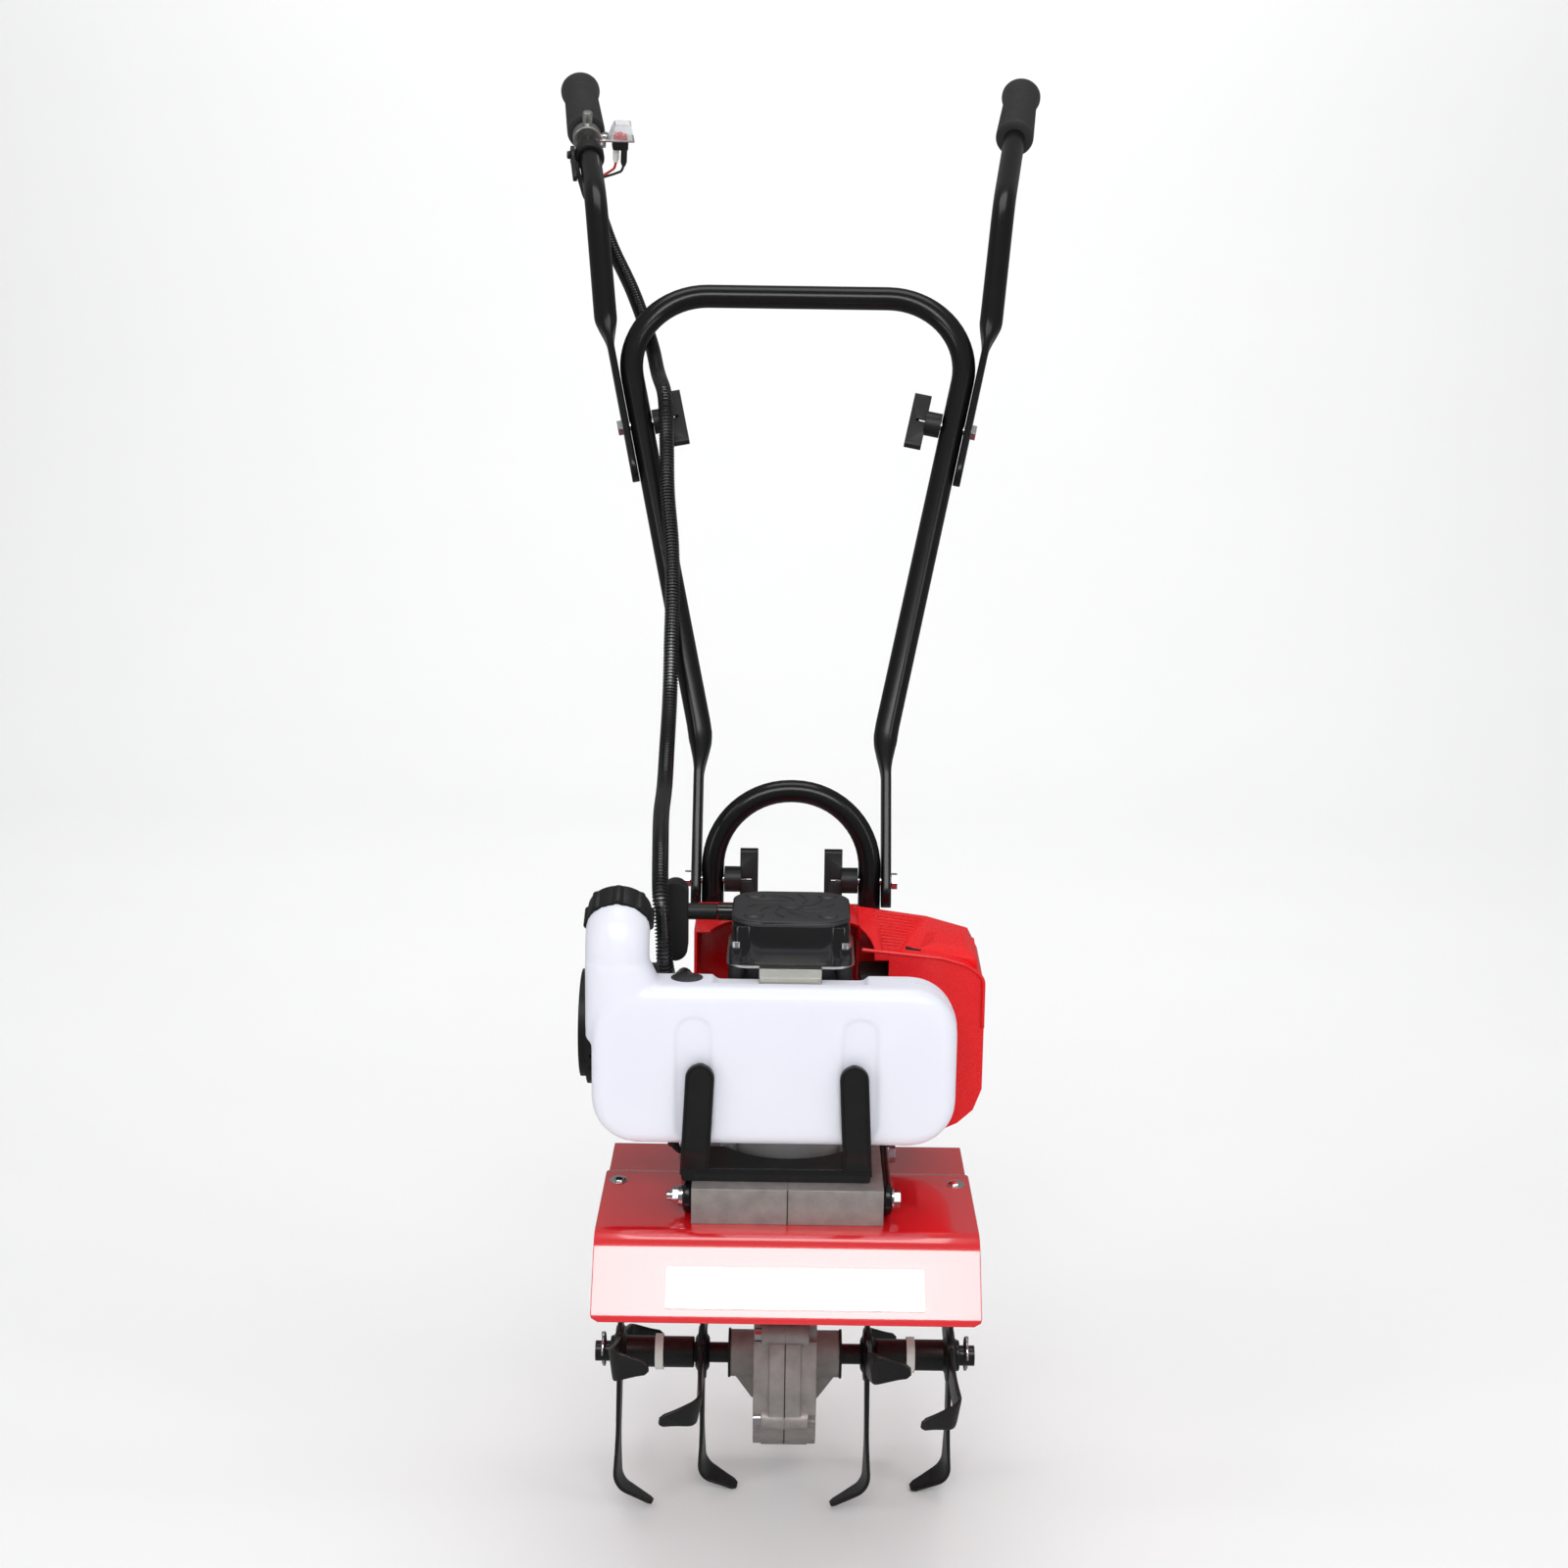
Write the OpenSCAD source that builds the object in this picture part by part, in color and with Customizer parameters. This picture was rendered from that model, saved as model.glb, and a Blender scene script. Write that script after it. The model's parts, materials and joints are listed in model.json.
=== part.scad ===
// Two-stroke mini cultivator: a vertical-crank engine on a split worm gearbox
// that drives four tine rotors, with a two-stage folding tube handle.
// Millimetres, +Z up, the front of the machine faces -Y, the ground is Z = 0.
// Side = +1 is the right half (+X), side = -1 the left half.

/* [Ground drive] */
// Swing radius of the tine arms up to the bend of their tips
arm_r = 108; // [104:1:112]
// Diameter of the tine shaft
shaft_d = 17; // [16:0.5:18]
// Outer diameter of the pipes that carry the outer rotors
pipe_d = 26; // [24:1:30]
// Distance of the inner rotor plates from the middle
inner_x = 70; // [66:1:74]
// Distance of the outer rotor plates from the middle
outer_x = 140; // [134:1:144]
// Width of a tine blade
blade_w = 30; // [24:1:32]
// Thickness of a tine blade
blade_t = 4; // [3:0.5:5]

/* [Gearbox] */
// Outer radius of the worm wheel housing
case_r = 74; // [70:1:78]
// Outer radius of the worm wheel
wheel_r = 38.5; // [36:0.5:38.5]
// Number of teeth on the worm wheel
wheel_teeth = 34; // [30:1:38]
// Distance of the worm and crank axis behind the tine shaft
worm_y = 52; // [52:0.5:54]
// Width of the gearbox top block
block_w = 156; // [150:1:160]

/* [Fender] */
// Width of the sheet fender
fender_w = 310; // [300:2:330]
// Height of the fender top above the ground
fender_z = 270; // [268:1:270]
// Thickness of the fender sheet
sheet_t = 1.5; // [1:0.5:2]

/* [Handle] */
// Lean of the folding handle back from vertical, in degrees
handle_lean = 28; // [24:1:30]
// Outer diameter of the handle tubes
tube_d = 22; // [22:0.5:24]
// Wall thickness of the handle tubes
wall = 1.5; // [1:0.25:2]
// Length of the middle frame from its lower pivot to its top bar
mid_len = 573.5; // [560:1:590]
// Distance from the lower pivot to the upper pivot
fold_len = 439.5; // [430:1:445]
// Outer diameter of a grip flange
grip_d = 41; // [38:1:42]

/* [Hidden] */
$fn = 48;

tip_len = 34;             // length of a bent tine tip
tip_bend = 62;            // turn of a tine tip away from its arm
axle_y = -309;            // tine shaft in the row frame
axle_z = arm_r + tip_len * cos(tip_bend) + blade_t / 2 * sin(tip_bend);
run = 0.05;               // radial clearance of a running fit
block_z = fender_z + 30;  // top of the gearbox block
pivot_y = 186;            // lower fold axis, behind the tine shaft
pivot_z = 493;
arch_lean = 5;            // lean of the fixed arch back from vertical
arch_d = 20;              // outer diameter of the arch tube
leg_x = 84.8;             // flattened frame leg, from the middle
leg_t = 9.2;              // thickness of the flattened leg
leg_slope = 0.2066;       // spread of the frame legs per unit of length
bend_s = 130.5;           // start of the spread along the frame
bend_x = 83;
corner_r = 72;
strip_t = 6;              // thickness of the flattened upper handle
tilt = atan(leg_slope);
bolt_d = 8;
knob_bore = bolt_d + 2 * run;
crank_z = 392;            // height of the cylinder axis
starter_z = 469;          // joint face under the starter
starter_screw_r = 63;     // its corner screws, from the crank axis
reel_post_d = 10;         // post that the rope reel turns on
bracket_arm_w = 23.5;     // width of the tank bracket's arms
bracket_x = -9.7;         // middle of the tank bracket
clutch_screw_r = 57.5;    // clutch housing screws, from the crank axis
clutch_screw_a = [-30, 40, 140, 210];
cap_tilt = 62;            // lean of the filler neck axis back from vertical
neck_x = -140;            // middle of the filler neck's mouth
neck_y = -14.6;
neck_z = 505;
neck_len = 14;            // from the neck's elbow to its mouth
neck_r = 26;
tank_low = 332;
tank_top = 465;
grip_l = 112;

// ---------- placing and basic shapes ----------
module on_axle() translate([0, axle_y, 0]) children();
module on_crank() translate([0, axle_y + worm_y, 0]) children();
module on_frame() translate([0, axle_y + pivot_y, pivot_z]) rotate([90 - handle_lean, 0, 0])
    children();
module flip(side) mirror([side < 0 ? 1 : 0, 0, 0]) children();
module both_sides() { children(); mirror([1, 0, 0]) children(); }
// Cylinder along X between two X values, at the origin's Y and Z
module xcyl(d, x0, x1) translate([x0, 0, 0]) rotate([0, 90, 0]) cylinder(h = x1 - x0, d = d);
module ycyl(d, y0, y1) translate([0, y0, 0]) rotate([-90, 0, 0]) cylinder(h = y1 - y0, d = d);
module tube(h, d, bore) difference() {
    cylinder(h = h, d = d);
    translate([0, 0, -1]) cylinder(h = h + 2, d = bore);
}
// Stadium outline: overall width w along X, overall length l along Y
module stadium(w, l) {
    square([w, l - w], center = true);
    for (s = [-1, 1]) translate([0, s * (l - w) / 2]) circle(d = w);
}
module rounded(w, l, r) {
    square([w - 2 * r, l], center = true);
    square([w, l - 2 * r], center = true);
    for (sx = [-1, 1], sy = [-1, 1]) translate([sx * (w / 2 - r), sy * (l / 2 - r)]) circle(r);
}
function unit(v) = v / norm(v);
function mirrored(p) = [for (i = [len(p) - 1:-1:0]) [-p[i].x, p[i].y, p[i].z]];
function turn_at(p, i) = acos(unit(p[i] - p[i - 1]) * unit(p[i + 1] - p[i]));
// Points of the bend of radius r at corner i of the path p, one every 12 degrees or less
function bend_points(p, r, i) = let (q = turn_at(p, i), u = unit(p[i] - p[i - 1]),
    w = unit(p[i + 1] - p[i]), n = unit(w - u * (u * w)), c = p[i] - u * r * tan(q / 2) + n * r,
    m = ceil(q / 12)) [for (k = [0:m]) c + r * (u * sin(q * k / m) - n * cos(q * k / m))];
// Path p with a bend of radius r[i] at each inner point
function bent_path(p, r) = concat([p[0]], [for (i = [1:len(p) - 2], q = bend_points(p, r[i], i)) q],
    [p[len(p) - 1]]);
function tangents(p) = [for (i = [0:len(p) - 1])
    unit(p[min(i + 1, len(p) - 1)] - p[max(i - 1, 0)])];
// Cross direction at ring i, carried along the path without twist
function across(t, i) = i == 0 ? unit(cross(t[0], [0.3, 0.2, 0.93]))
    : let (a = across(t, i - 1)) unit(a - t[i] * (a * t[i]));
function rings(p, d, sides) = let (t = tangents(p)) [for (i = [0:len(p) - 1]) let (a = across(t, i),
    b = cross(t[i], a)) [for (k = [0:sides - 1])
    p[i] + (a * cos(360 * k / sides) + b * sin(360 * k / sides)) * d / 2]];
function flat(l) = [for (r = l, q = r) q];
// Side faces from ring i to ring j
function band(i, j, sides) = [for (k = [0:sides - 1]) each [
    [i * sides + k, j * sides + (k + 1) % sides, i * sides + (k + 1) % sides],
    [i * sides + k, j * sides + k, j * sides + (k + 1) % sides]]];
// Solid round cord through the points p
module swept(p, d, sides) {
    m = len(p);
    polyhedron(points = flat(rings(p, d, sides)), faces = concat(
        [[for (k = [0:sides - 1]) k]],
        [for (i = [0:m - 2]) each band(i, i + 1, sides)],
        [[for (k = [0:sides - 1]) m * sides - 1 - k]]));
}
// Open-ended round pipe through the points p, with a wall t thick
module pipe(p, d, t, sides = 20) {
    m = len(p);
    inner = rings(p, d - 2 * t, sides);
    polyhedron(points = flat(concat(rings(p, d, sides), [for (i = [m - 1:-1:0]) inner[i]])),
        faces = [for (i = [0:2 * m - 1]) each band(i, (i + 1) % (2 * m), sides)]);
}
module hex(af, h) rotate([0, 0, 30]) cylinder(h = h, d = af / cos(30), $fn = 6);
// Hexagon bolt along +X, its head's underside at the origin
module x_bolt(d, length, af, head) rotate([0, 90, 0]) {
    translate([0, 0, -head]) hex(af, head);
    translate([0, 0, -head / 2]) cylinder(h = length + head / 2, d = d);
}
// Smooth route through the points p, n steps from each to the next
function spline(a, b, c, d, t) = 0.5 * ((2 * b) + (c - a) * t + (2 * a - 5 * b + 4 * c - d) * t * t
    + (3 * b - a - 3 * c + d) * t * t * t);
function route(p, n) = concat([for (i = [0:len(p) - 2], k = [0:n - 1])
    spline(p[max(i - 1, 0)], p[i], p[i + 1], p[min(i + 2, len(p) - 1)], k / n)], [p[len(p) - 1]]);
// ---------- gearbox ----------
rim_screws = [[-58, 170], [-68, 100], [-14, 58], [-34, 226]];  // [Y, Z] from the shaft line
module case_profile() {
    translate([0, axle_z]) circle(case_r);
    translate([-44, axle_z]) square([124, block_z - axle_z - 1]);
}
module gearbox_half(side) color([0.62, 0.61, 0.6]) on_axle() flip(side) difference() {
    union() {
        translate([0, -65, fender_z]) cube([block_w / 2, 165, block_z - fender_z]);
        rotate([90, 0, 90]) linear_extrude(26) case_profile();
        intersection() {
            translate([0, worm_y, 66]) cylinder(h = 204, r = 25);
            translate([0, 0, 60]) cube([26, 100, 220]);
        }
        intersection() {
            translate([0, 0, axle_z]) xcyl(2 * case_r + 7, 0, 13);
            translate([0, -100, 104]) cube([13, 60, 62]);
        }
        for (s = rim_screws) translate([0, s.x, s.y]) xcyl(17, 0, 19.5);
        translate([0, 0, axle_z]) xcyl(39, 20, 46);
        translate([20, -2.5, 0]) rotate([90, 0, 0]) mirror([0, 0, 1]) linear_extrude(5)
            polygon([[0, axle_z - 40], [8, axle_z - 40], [25, axle_z - 16], [0, axle_z - 16]]);
    }
    translate([0, 0, axle_z]) {
        xcyl(88, -1, 12.5);
        xcyl(shaft_d + 3, -1, 50);
        xcyl(35, 32, 50);
    }
    translate([-1, -36, 200]) cube([21, 62, 62]);
    translate([31, -60, fender_z - 1]) cube([42, 100, 24]);
    translate([0, worm_y, 0]) {
        translate([0, 0, 78]) cylinder(h = 260, r = 14);
        translate([0, 0, 262]) cylinder(h = 60, r = 16);
    }
    for (s = rim_screws) translate([0, s.x, s.y]) {
        xcyl(6.4, -1, 40);
        xcyl(11, 19.5, 40);
    }
    translate([0, -40, fender_z + 14]) xcyl(8.6, -1, 100);
    translate([0, 58, fender_z + 14]) xcyl(8, 46, 100);
    translate([0, worm_y, 0]) for (a = [-30, 40]) rotate([0, 0, a])
        translate([clutch_screw_r, 0, block_z - 14]) cylinder(h = 20, d = 5);
}
module gearbox_left_half() gearbox_half(-1);
module gearbox_right_half() gearbox_half(1);

module housing_screws() color([0.8, 0.8, 0.82]) {
    on_axle() for (s = rim_screws) translate([-19.5, s.x, s.y]) {
        xcyl(6, 0, 39);
        difference() {
            xcyl(10, -6, 0);
            translate([-7, 0, 0]) rotate([0, 90, 0]) hex(5, 4);
        }
    }
    on_crank() for (a = [45:90:315]) rotate([0, 0, a]) translate([starter_screw_r, 0, 450]) {
        cylinder(h = 34, d = 4.8);
        translate([0, 0, 33]) cylinder(h = 5, d = 9);
    }
    on_crank() for (a = clutch_screw_a) rotate([0, 0, a])
        translate([clutch_screw_r, 0, block_z - 12]) {
            cylinder(h = 21, d = 4.8);
            translate([0, 0, 20]) cylinder(h = 3.5, d = 9);
        }
}
module ball_bearing(bore, d, w) {
    rotate_extrude() {
        translate([bore / 2, 0]) square([(d - bore) * 0.14, w]);
        translate([d / 2 - (d - bore) * 0.14, 0]) square([(d - bore) * 0.14, w]);
        translate([bore / 2 + (d - bore) * 0.13, w * 0.25]) square([(d - bore) * 0.24, w * 0.5]);
    }
}
module ball_bearings() color([0.75, 0.76, 0.78]) {
    on_axle() both_sides() translate([32, 0, axle_z]) rotate([0, 90, 0])
        ball_bearing(shaft_d + 2 * run, 35, 10);
    on_crank() {
        translate([0, 0, 78]) ball_bearing(12 + 2 * run, 28, 8);
        translate([0, 0, 262]) ball_bearing(12 + 2 * run, 32, 10);
        translate([0, 0, 354]) ball_bearing(12 + 2 * run, 32, 10);
        translate([0, 0, 422]) ball_bearing(12 + 2 * run, 32, 10);
    }
}
module shaft_seals() color([0.08, 0.08, 0.08]) on_axle() both_sides()
    translate([0, 0, axle_z]) rotate([0, 90, 0]) {
        translate([0, 0, 42]) tube(4.2, 35, shaft_d + 0.1);
        translate([0, 0, 46]) tube(2, 41, shaft_d + 0.1);
    }

// ---------- fender ----------
front_bend_y = -85;
screw_x = 143;
// [Y, Z] outline of the front sheet: flap, bend and top
module front_sheet() polygon([[-130, fender_z - 57], [front_bend_y, fender_z], [50, fender_z],
    [50, fender_z - sheet_t], [front_bend_y + 0.8, fender_z - sheet_t],
    [-130 + 1.2, fender_z - 57 - sheet_t * 0.6]]);
module rear_sheet() polygon([[4, fender_z - sheet_t], [118, fender_z - sheet_t],
    [150, fender_z - 46], [150 - 1.2, fender_z - 46 - sheet_t * 0.6],
    [117.2, fender_z - 2 * sheet_t], [4, fender_z - 2 * sheet_t]]);
module sheet_part(w) color([0.83, 0.05, 0.06]) on_axle() difference() {
    translate([-w / 2, 0, 0]) rotate([90, 0, 90]) linear_extrude(w) children();
    translate([-27, -46, fender_z - 20]) cube([54, 128, 30]);
    both_sides() translate([screw_x, 26, fender_z - 20]) cylinder(h = 30, d = 6.5);
}
module fender_front() sheet_part(fender_w) front_sheet();
module fender_rear() sheet_part(fender_w - 4) rear_sheet();
module fender_screws() color([0.8, 0.8, 0.82]) on_axle() both_sides()
    translate([screw_x, 26, fender_z]) {
        translate([0, 0, -14]) cylinder(h = 14, d = 6);
        intersection() {
            translate([0, 0, -7.6]) sphere(d = 22.4);
            cylinder(h = 5, d = 16);
        }
        translate([0, 0, -7.5]) difference() {
            hex(10, 4.4);
            translate([0, 0, -1]) cylinder(h = 7, d = 6);
        }
    }

// ---------- clutch ----------
module clutch_housing() color([0.6, 0.59, 0.58]) on_crank() difference() {
    union() {
        translate([0, 0, block_z]) cylinder(h = 46, r = 52);
        for (a = clutch_screw_a) rotate([0, 0, a]) translate([clutch_screw_r, 0, block_z])
            cylinder(h = 8, r = 7);
    }
    translate([0, 0, block_z + 4]) cylinder(h = 50, r = 48);
    translate([0, 0, block_z - 1]) cylinder(h = 8, r = 14);
    for (a = clutch_screw_a) rotate([0, 0, a]) translate([clutch_screw_r, 0, block_z - 1])
        cylinder(h = 12, d = 5);
}
module clutch_drum() color([0.7, 0.7, 0.72]) on_crank() difference() {
    translate([0, 0, 308]) cylinder(h = 26, r = 38);
    translate([0, 0, 312]) cylinder(h = 30, r = 34.5);
    translate([0, 0, 300]) cylinder(h = 20, d = 12);
}
module worm_shaft() color([0.72, 0.72, 0.74]) on_crank() {
    translate([0, 0, 78]) cylinder(h = 234, d = 12);
    translate([0, 0, 90]) cylinder(h = 10, d = 18);
    rotate_extrude() {
        translate([0, 98]) square([9.5, 56]);
        for (z = [100:7.4:152]) translate([0, z]) polygon([[0, -3], [9.5, -3], [13, -1], [13, 1],
            [9.5, 3], [0, 3]]);
    }
}
module clutch_shoes() color([0.25, 0.22, 0.2]) on_crank() for (a = [0, 180]) rotate([0, 0, a])
    translate([0, 0, 314]) linear_extrude(16) difference() {
        circle(33.5);
        circle(19);
        translate([-40, -40]) square([80, 45]);
        translate([0, 27]) circle(3.5);
    }

// ---------- fuel tank ----------
tank_rear = -1;
module neck_frame() translate([neck_x, neck_y, neck_z]) rotate([-cap_tilt, 0, 0]) children();
module tank_form(inset) {
    difference() {
        rotate([90, 0, 0]) translate([0, 0, -tank_rear + inset]) linear_extrude(54 - 2 * inset)
            translate([-12.5, (tank_low + tank_top) / 2])
                rounded(295 - 2 * inset, tank_top - tank_low - 2 * inset, 36 - inset);
        // Step under the starter plate's tab
        translate([-60 - inset, -34 - inset, tank_top - 6 - inset]) cube([120 + 2 * inset, 60, 30]);
    }
    // Filler neck, cut off square at its mouth
    difference() {
        union() {
            neck_frame() translate([0, 0, -neck_len]) {
                cylinder(h = neck_len + 1, r = neck_r - inset);
                sphere(r = neck_r - inset + 0.2);
            }
            translate([neck_x, neck_y - neck_len * sin(cap_tilt), 420])
                cylinder(h = neck_z - neck_len * cos(cap_tilt) - 420, r = neck_r - inset);
        }
        neck_frame() translate([0, 0, -inset]) cylinder(h = 40, r = 60);
    }
}
module fuel_tank() color([0.92, 0.93, 0.96]) on_axle() difference() {
    union() {
        tank_form(0);
        neck_frame() translate([0, 0, -8]) cylinder(h = 22, d = 38);
    }
    tank_form(2.5);
    neck_frame() translate([0, 0, -14]) cylinder(h = 40, d = 32);
}
module fuel_cap() color([0.07, 0.07, 0.07]) on_axle() neck_frame() difference() {
    union() {
        translate([0, 0, 0.6]) cylinder(h = 20, d = 52);
        for (a = [0:45:315]) rotate([0, 0, a]) translate([24, 0, 0.6]) cylinder(h = 18, d = 9);
    }
    translate([0, 0, -1]) cylinder(h = 17, d = 38 + 2 * run);
}
module tank_bracket() color([0.09, 0.09, 0.09]) on_axle() difference() {
    translate([bracket_x, 0, 0]) {
        for (side = [-1, 1]) intersection() {
            translate([side * 66 - 24, 0, 0]) rotate([90, 0, 90]) linear_extrude(48)
                polygon([[-62, 404], [-55.4, 404], [-55.4, 330], [-48, 322], [-32, 300],
                    [-46, 300], [-62, 326]]);
            translate([side * 61.5, -28, 404 - bracket_arm_w / 2]) rotate([90, 0, 0])
                linear_extrude(40) {
                    circle(d = bracket_arm_w);
                    polygon([[-bracket_arm_w / 2, 0], [bracket_arm_w / 2, 0],
                        [side * 6 + bracket_arm_w / 2, -110], [side * 6 - bracket_arm_w / 2, -110]]);
                }
        }
        translate([-77, -48, 302]) cube([154, 60, 5]);
        translate([-77, -48, 300]) cube([154, 4, 12]);
    }
    translate([0, worm_y, 290]) cylinder(h = 40, r = 66);
}
module starter_plate() color([0.78, 0.78, 0.8]) on_axle() difference() {
    union() {
        translate([0, worm_y, 467]) linear_extrude(2) rounded(106, 106, 18);
        translate([-25.5, -8.8, 467]) cube([51, 22, 2]);
        translate([-25.5, -8.8, tank_top - 5.6]) cube([51, 2, 9.6]);
        translate([-25.5, -32, tank_top - 5.6]) cube([51, 25.2, 2]);
    }
    translate([0, worm_y, 460]) cylinder(h = 20, r = 44);
    for (a = [45:90:315]) translate([0, worm_y, 460]) rotate([0, 0, a])
        translate([starter_screw_r, 0, 0]) cylinder(h = 20, d = 5);
}

// ---------- engine ----------
module crankcase() color([0.6, 0.6, 0.6]) on_crank() difference() {
    union() {
        translate([0, 0, 346]) cylinder(h = 94, r = 44);
        translate([-37, 0, 356]) cube([74, 46, 74]);
        translate([0, 0, 346]) cylinder(h = 6, r = 52);
    }
    translate([0, 0, 366]) cylinder(h = 54, r = 36);
    translate([0, 0, 340]) cylinder(h = 110, d = 20);
    translate([0, 0, 354]) cylinder(h = 10, d = 32);
    translate([0, 0, 422]) cylinder(h = 10, d = 32);
    translate([0, 0, crank_z]) ycyl(50, 0, 60);
}
fin_y = 104;
module cylinder_body() {
    ycyl(58, 98, 160);
    for (k = [0:6]) translate([-42, fin_y + 7 * k, -40]) cube([84, 2.2, 80]);
    translate([-40, 98, -34]) cube([80, 4, 68]);
    both_sides() translate([20, 98, -17]) cube([27, 29, 34]);
}
module cylinder_barrel() color([0.7, 0.7, 0.7]) on_axle() translate([0, 0, crank_z]) difference() {
    cylinder_body();
    ycyl(44.1, 90, 146);
    ycyl(14, 140, 170);
    translate([0, 110, 0]) both_sides() xcyl(20, 15, 60);
}
module piston() color([0.72, 0.72, 0.74]) on_axle() translate([0, 0, crank_z]) difference() {
    ycyl(44, 111, 141);
    ycyl(37, 100, 135);
    translate([0, 123, 0]) xcyl(10, -30, 30);
}
module spark_plug() color([0.85, 0.85, 0.85]) on_axle() translate([0, 0, crank_z]) {
    ycyl(14, 143, 162);
    translate([0, 162, 0]) rotate([-90, 0, 0]) hex(19, 8);
    ycyl(9, 168, 186);
}
module plug_cap() color([0.06, 0.06, 0.06]) on_axle() translate([0, 0, crank_z]) difference() {
    union() {
        ycyl(20, 171, 194);
        translate([0, 188, 0]) cylinder(h = 22, d = 13);
    }
    ycyl(9, 170, 186);
}
module crankshaft() color([0.7, 0.7, 0.72]) on_crank() {
    translate([0, 0, 316]) cylinder(h = 58, d = 12);
    translate([0, 0, 410]) cylinder(h = 68, d = 12);
    translate([0, 0, 314]) cylinder(h = 18, d = 32);
    for (z = [374, 402]) translate([0, 0, z]) cylinder(h = 8, r = 24);
    translate([0, 17, 374]) cylinder(h = 36, d = 12);
}
module flywheel() color([0.55, 0.55, 0.57]) on_crank() difference() {
    union() {
        translate([0, 0, 443]) cylinder(h = 6, r = 41);
        translate([0, 0, 443]) cylinder(h = 18, r = 16);
        for (a = [0:30:330]) rotate([0, 0, a]) translate([18, -1.2, 447]) cube([21, 2.4, 13]);
    }
    translate([0, 0, 440]) cylinder(h = 30, d = 12);
}
module ignition_coil() color([0.1, 0.1, 0.1]) on_crank() {
    translate([-14, 42.2, 442]) cube([28, 3.3, 12]);
}
module fan_housing() color([0.08, 0.08, 0.08]) on_crank() translate([0, 0, 440]) difference() {
    union() {
        linear_extrude(27) rounded(100, 100, 28);
        for (a = [45:90:315]) rotate([0, 0, a]) translate([starter_screw_r - 1, 0, 0])
            cylinder(h = 27, r = 7.5);
    }
    translate([0, 0, 2]) cylinder(h = 40, r = 48);
    translate([0, 0, -1]) cylinder(h = 10, r = 30);
    for (a = [45:90:315]) rotate([0, 0, a]) translate([starter_screw_r, 0, 10])
        cylinder(h = 30, d = 4.8);
}
module starter_housing() color([0.12, 0.12, 0.12]) on_crank() translate([0, 0, starter_z]) {
    difference() {
        union() {
            linear_extrude(36) rounded(98, 98, 27);
            for (a = [45:90:315]) rotate([0, 0, a]) translate([starter_screw_r, 0, 0])
                cylinder(h = 14, r = 6);
            translate([0, 18, 26]) xcyl(15, -62, -40);
        }
        translate([0, 0, -1]) cylinder(h = 33, r = 45);
        for (a = [45:90:315]) rotate([0, 0, a]) translate([starter_screw_r, 0, -1])
            cylinder(h = 20, d = 5);
        translate([0, 18, 26]) xcyl(6, -70, -40);
    }
    translate([0, 0, 17]) cylinder(h = 17, d = reel_post_d);
}
module starter_reel() color([0.85, 0.85, 0.8]) on_crank() difference() {
    translate([0, 0, 486]) rotate_extrude() polygon([[0, 0], [30, 0], [30, 2], [26, 4], [26, 10],
        [30, 12], [30, 14], [0, 14]]);
    translate([0, 0, 480]) cylinder(h = 24, d = reel_post_d + 2 * run);
}
module starter_handle() color([0.06, 0.06, 0.06]) on_crank() translate([0, 18, starter_z + 26])
    difference() {
        union() {
            xcyl(14, -90, -62.5);
            translate([-98, 0, 0]) rotate([90, 0, 0]) translate([0, -7, -10]) linear_extrude(20)
                stadium(22, 68);
        }
        xcyl(5, -110, -60);
    }
// Muffler shroud: the front outline at y = 56, and the higher rear one that the ribbed top slopes up to
shroud_low = [[165, 434], [165, 345], [158, 326], [145, 314], [128, 306], [97, 301], [58, 330]];
shroud_front = concat([[58, 468], [128, 461], [150, 455], [161, 446]], shroud_low);
shroud_rear = concat([[58, 486], [118, 478], [154, 468], [163, 450]], shroud_low);
module slice(outline, y, inset) translate([0, y, 0]) rotate([90, 0, 0]) linear_extrude(0.1)
    offset(delta = -inset) polygon(outline);
module shroud_form(inset) hull() {
    slice(shroud_front, 56.1 + inset, inset);
    slice(shroud_rear, 126 - inset, inset);
}
module engine_cover() color([0.85, 0.05, 0.06]) on_axle() difference() {
    union() {
        translate([-82, 72, 350]) cube([142, 90, 128]);
        shroud_form(0);
    }
    translate([-79.5, 70, 340]) cube([137, 89.5, 135.5]);
    shroud_form(2.5);
    translate([50, 58.5, 331]) cube([12, 65, 134]);
    // Front wall cut away beside the engine
    translate([50, 50, 300]) cube([33, 10, 158]);
    translate([98, 60, 285]) cube([22, 60, 30]);
    translate([-100, 70, 340]) cube([40, 70, 90]);
    translate([-30, 150, crank_z - 30]) cube([60, 20, 60]);
    translate([0, worm_y, 430]) cylinder(h = 60, r = 71);
    for (k = [0:8]) translate([-38 + 10 * k, 128, 470]) cube([3, 30, 12]);
    for (k = [0:4]) translate([84 + 10 * k, 50, 350]) cube([4, 10, 60]);
}
module muffler() color([0.3, 0.3, 0.31]) on_axle() difference() {
    union() {
        translate([60, 78, 346]) cube([58, 42, 92]);
        translate([48, 110, crank_z]) xcyl(26, -1, 14);
        translate([112, 99, 330]) cylinder(h = 30, d = 18);
    }
    translate([62, 80, 348]) cube([54, 38, 88]);
    translate([40, 110, crank_z]) xcyl(18, -1, 40);
    translate([112, 99, 320]) cylinder(h = 34, d = 14);
}
module intake_manifold() color([0.07, 0.07, 0.07]) on_axle() translate([0, 110, crank_z]) difference() {
    union() {
        xcyl(30, -64, -47);
        translate([-51, -20, -20]) cube([4, 40, 40]);
    }
    xcyl(18, -70, -40);
}
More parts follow.
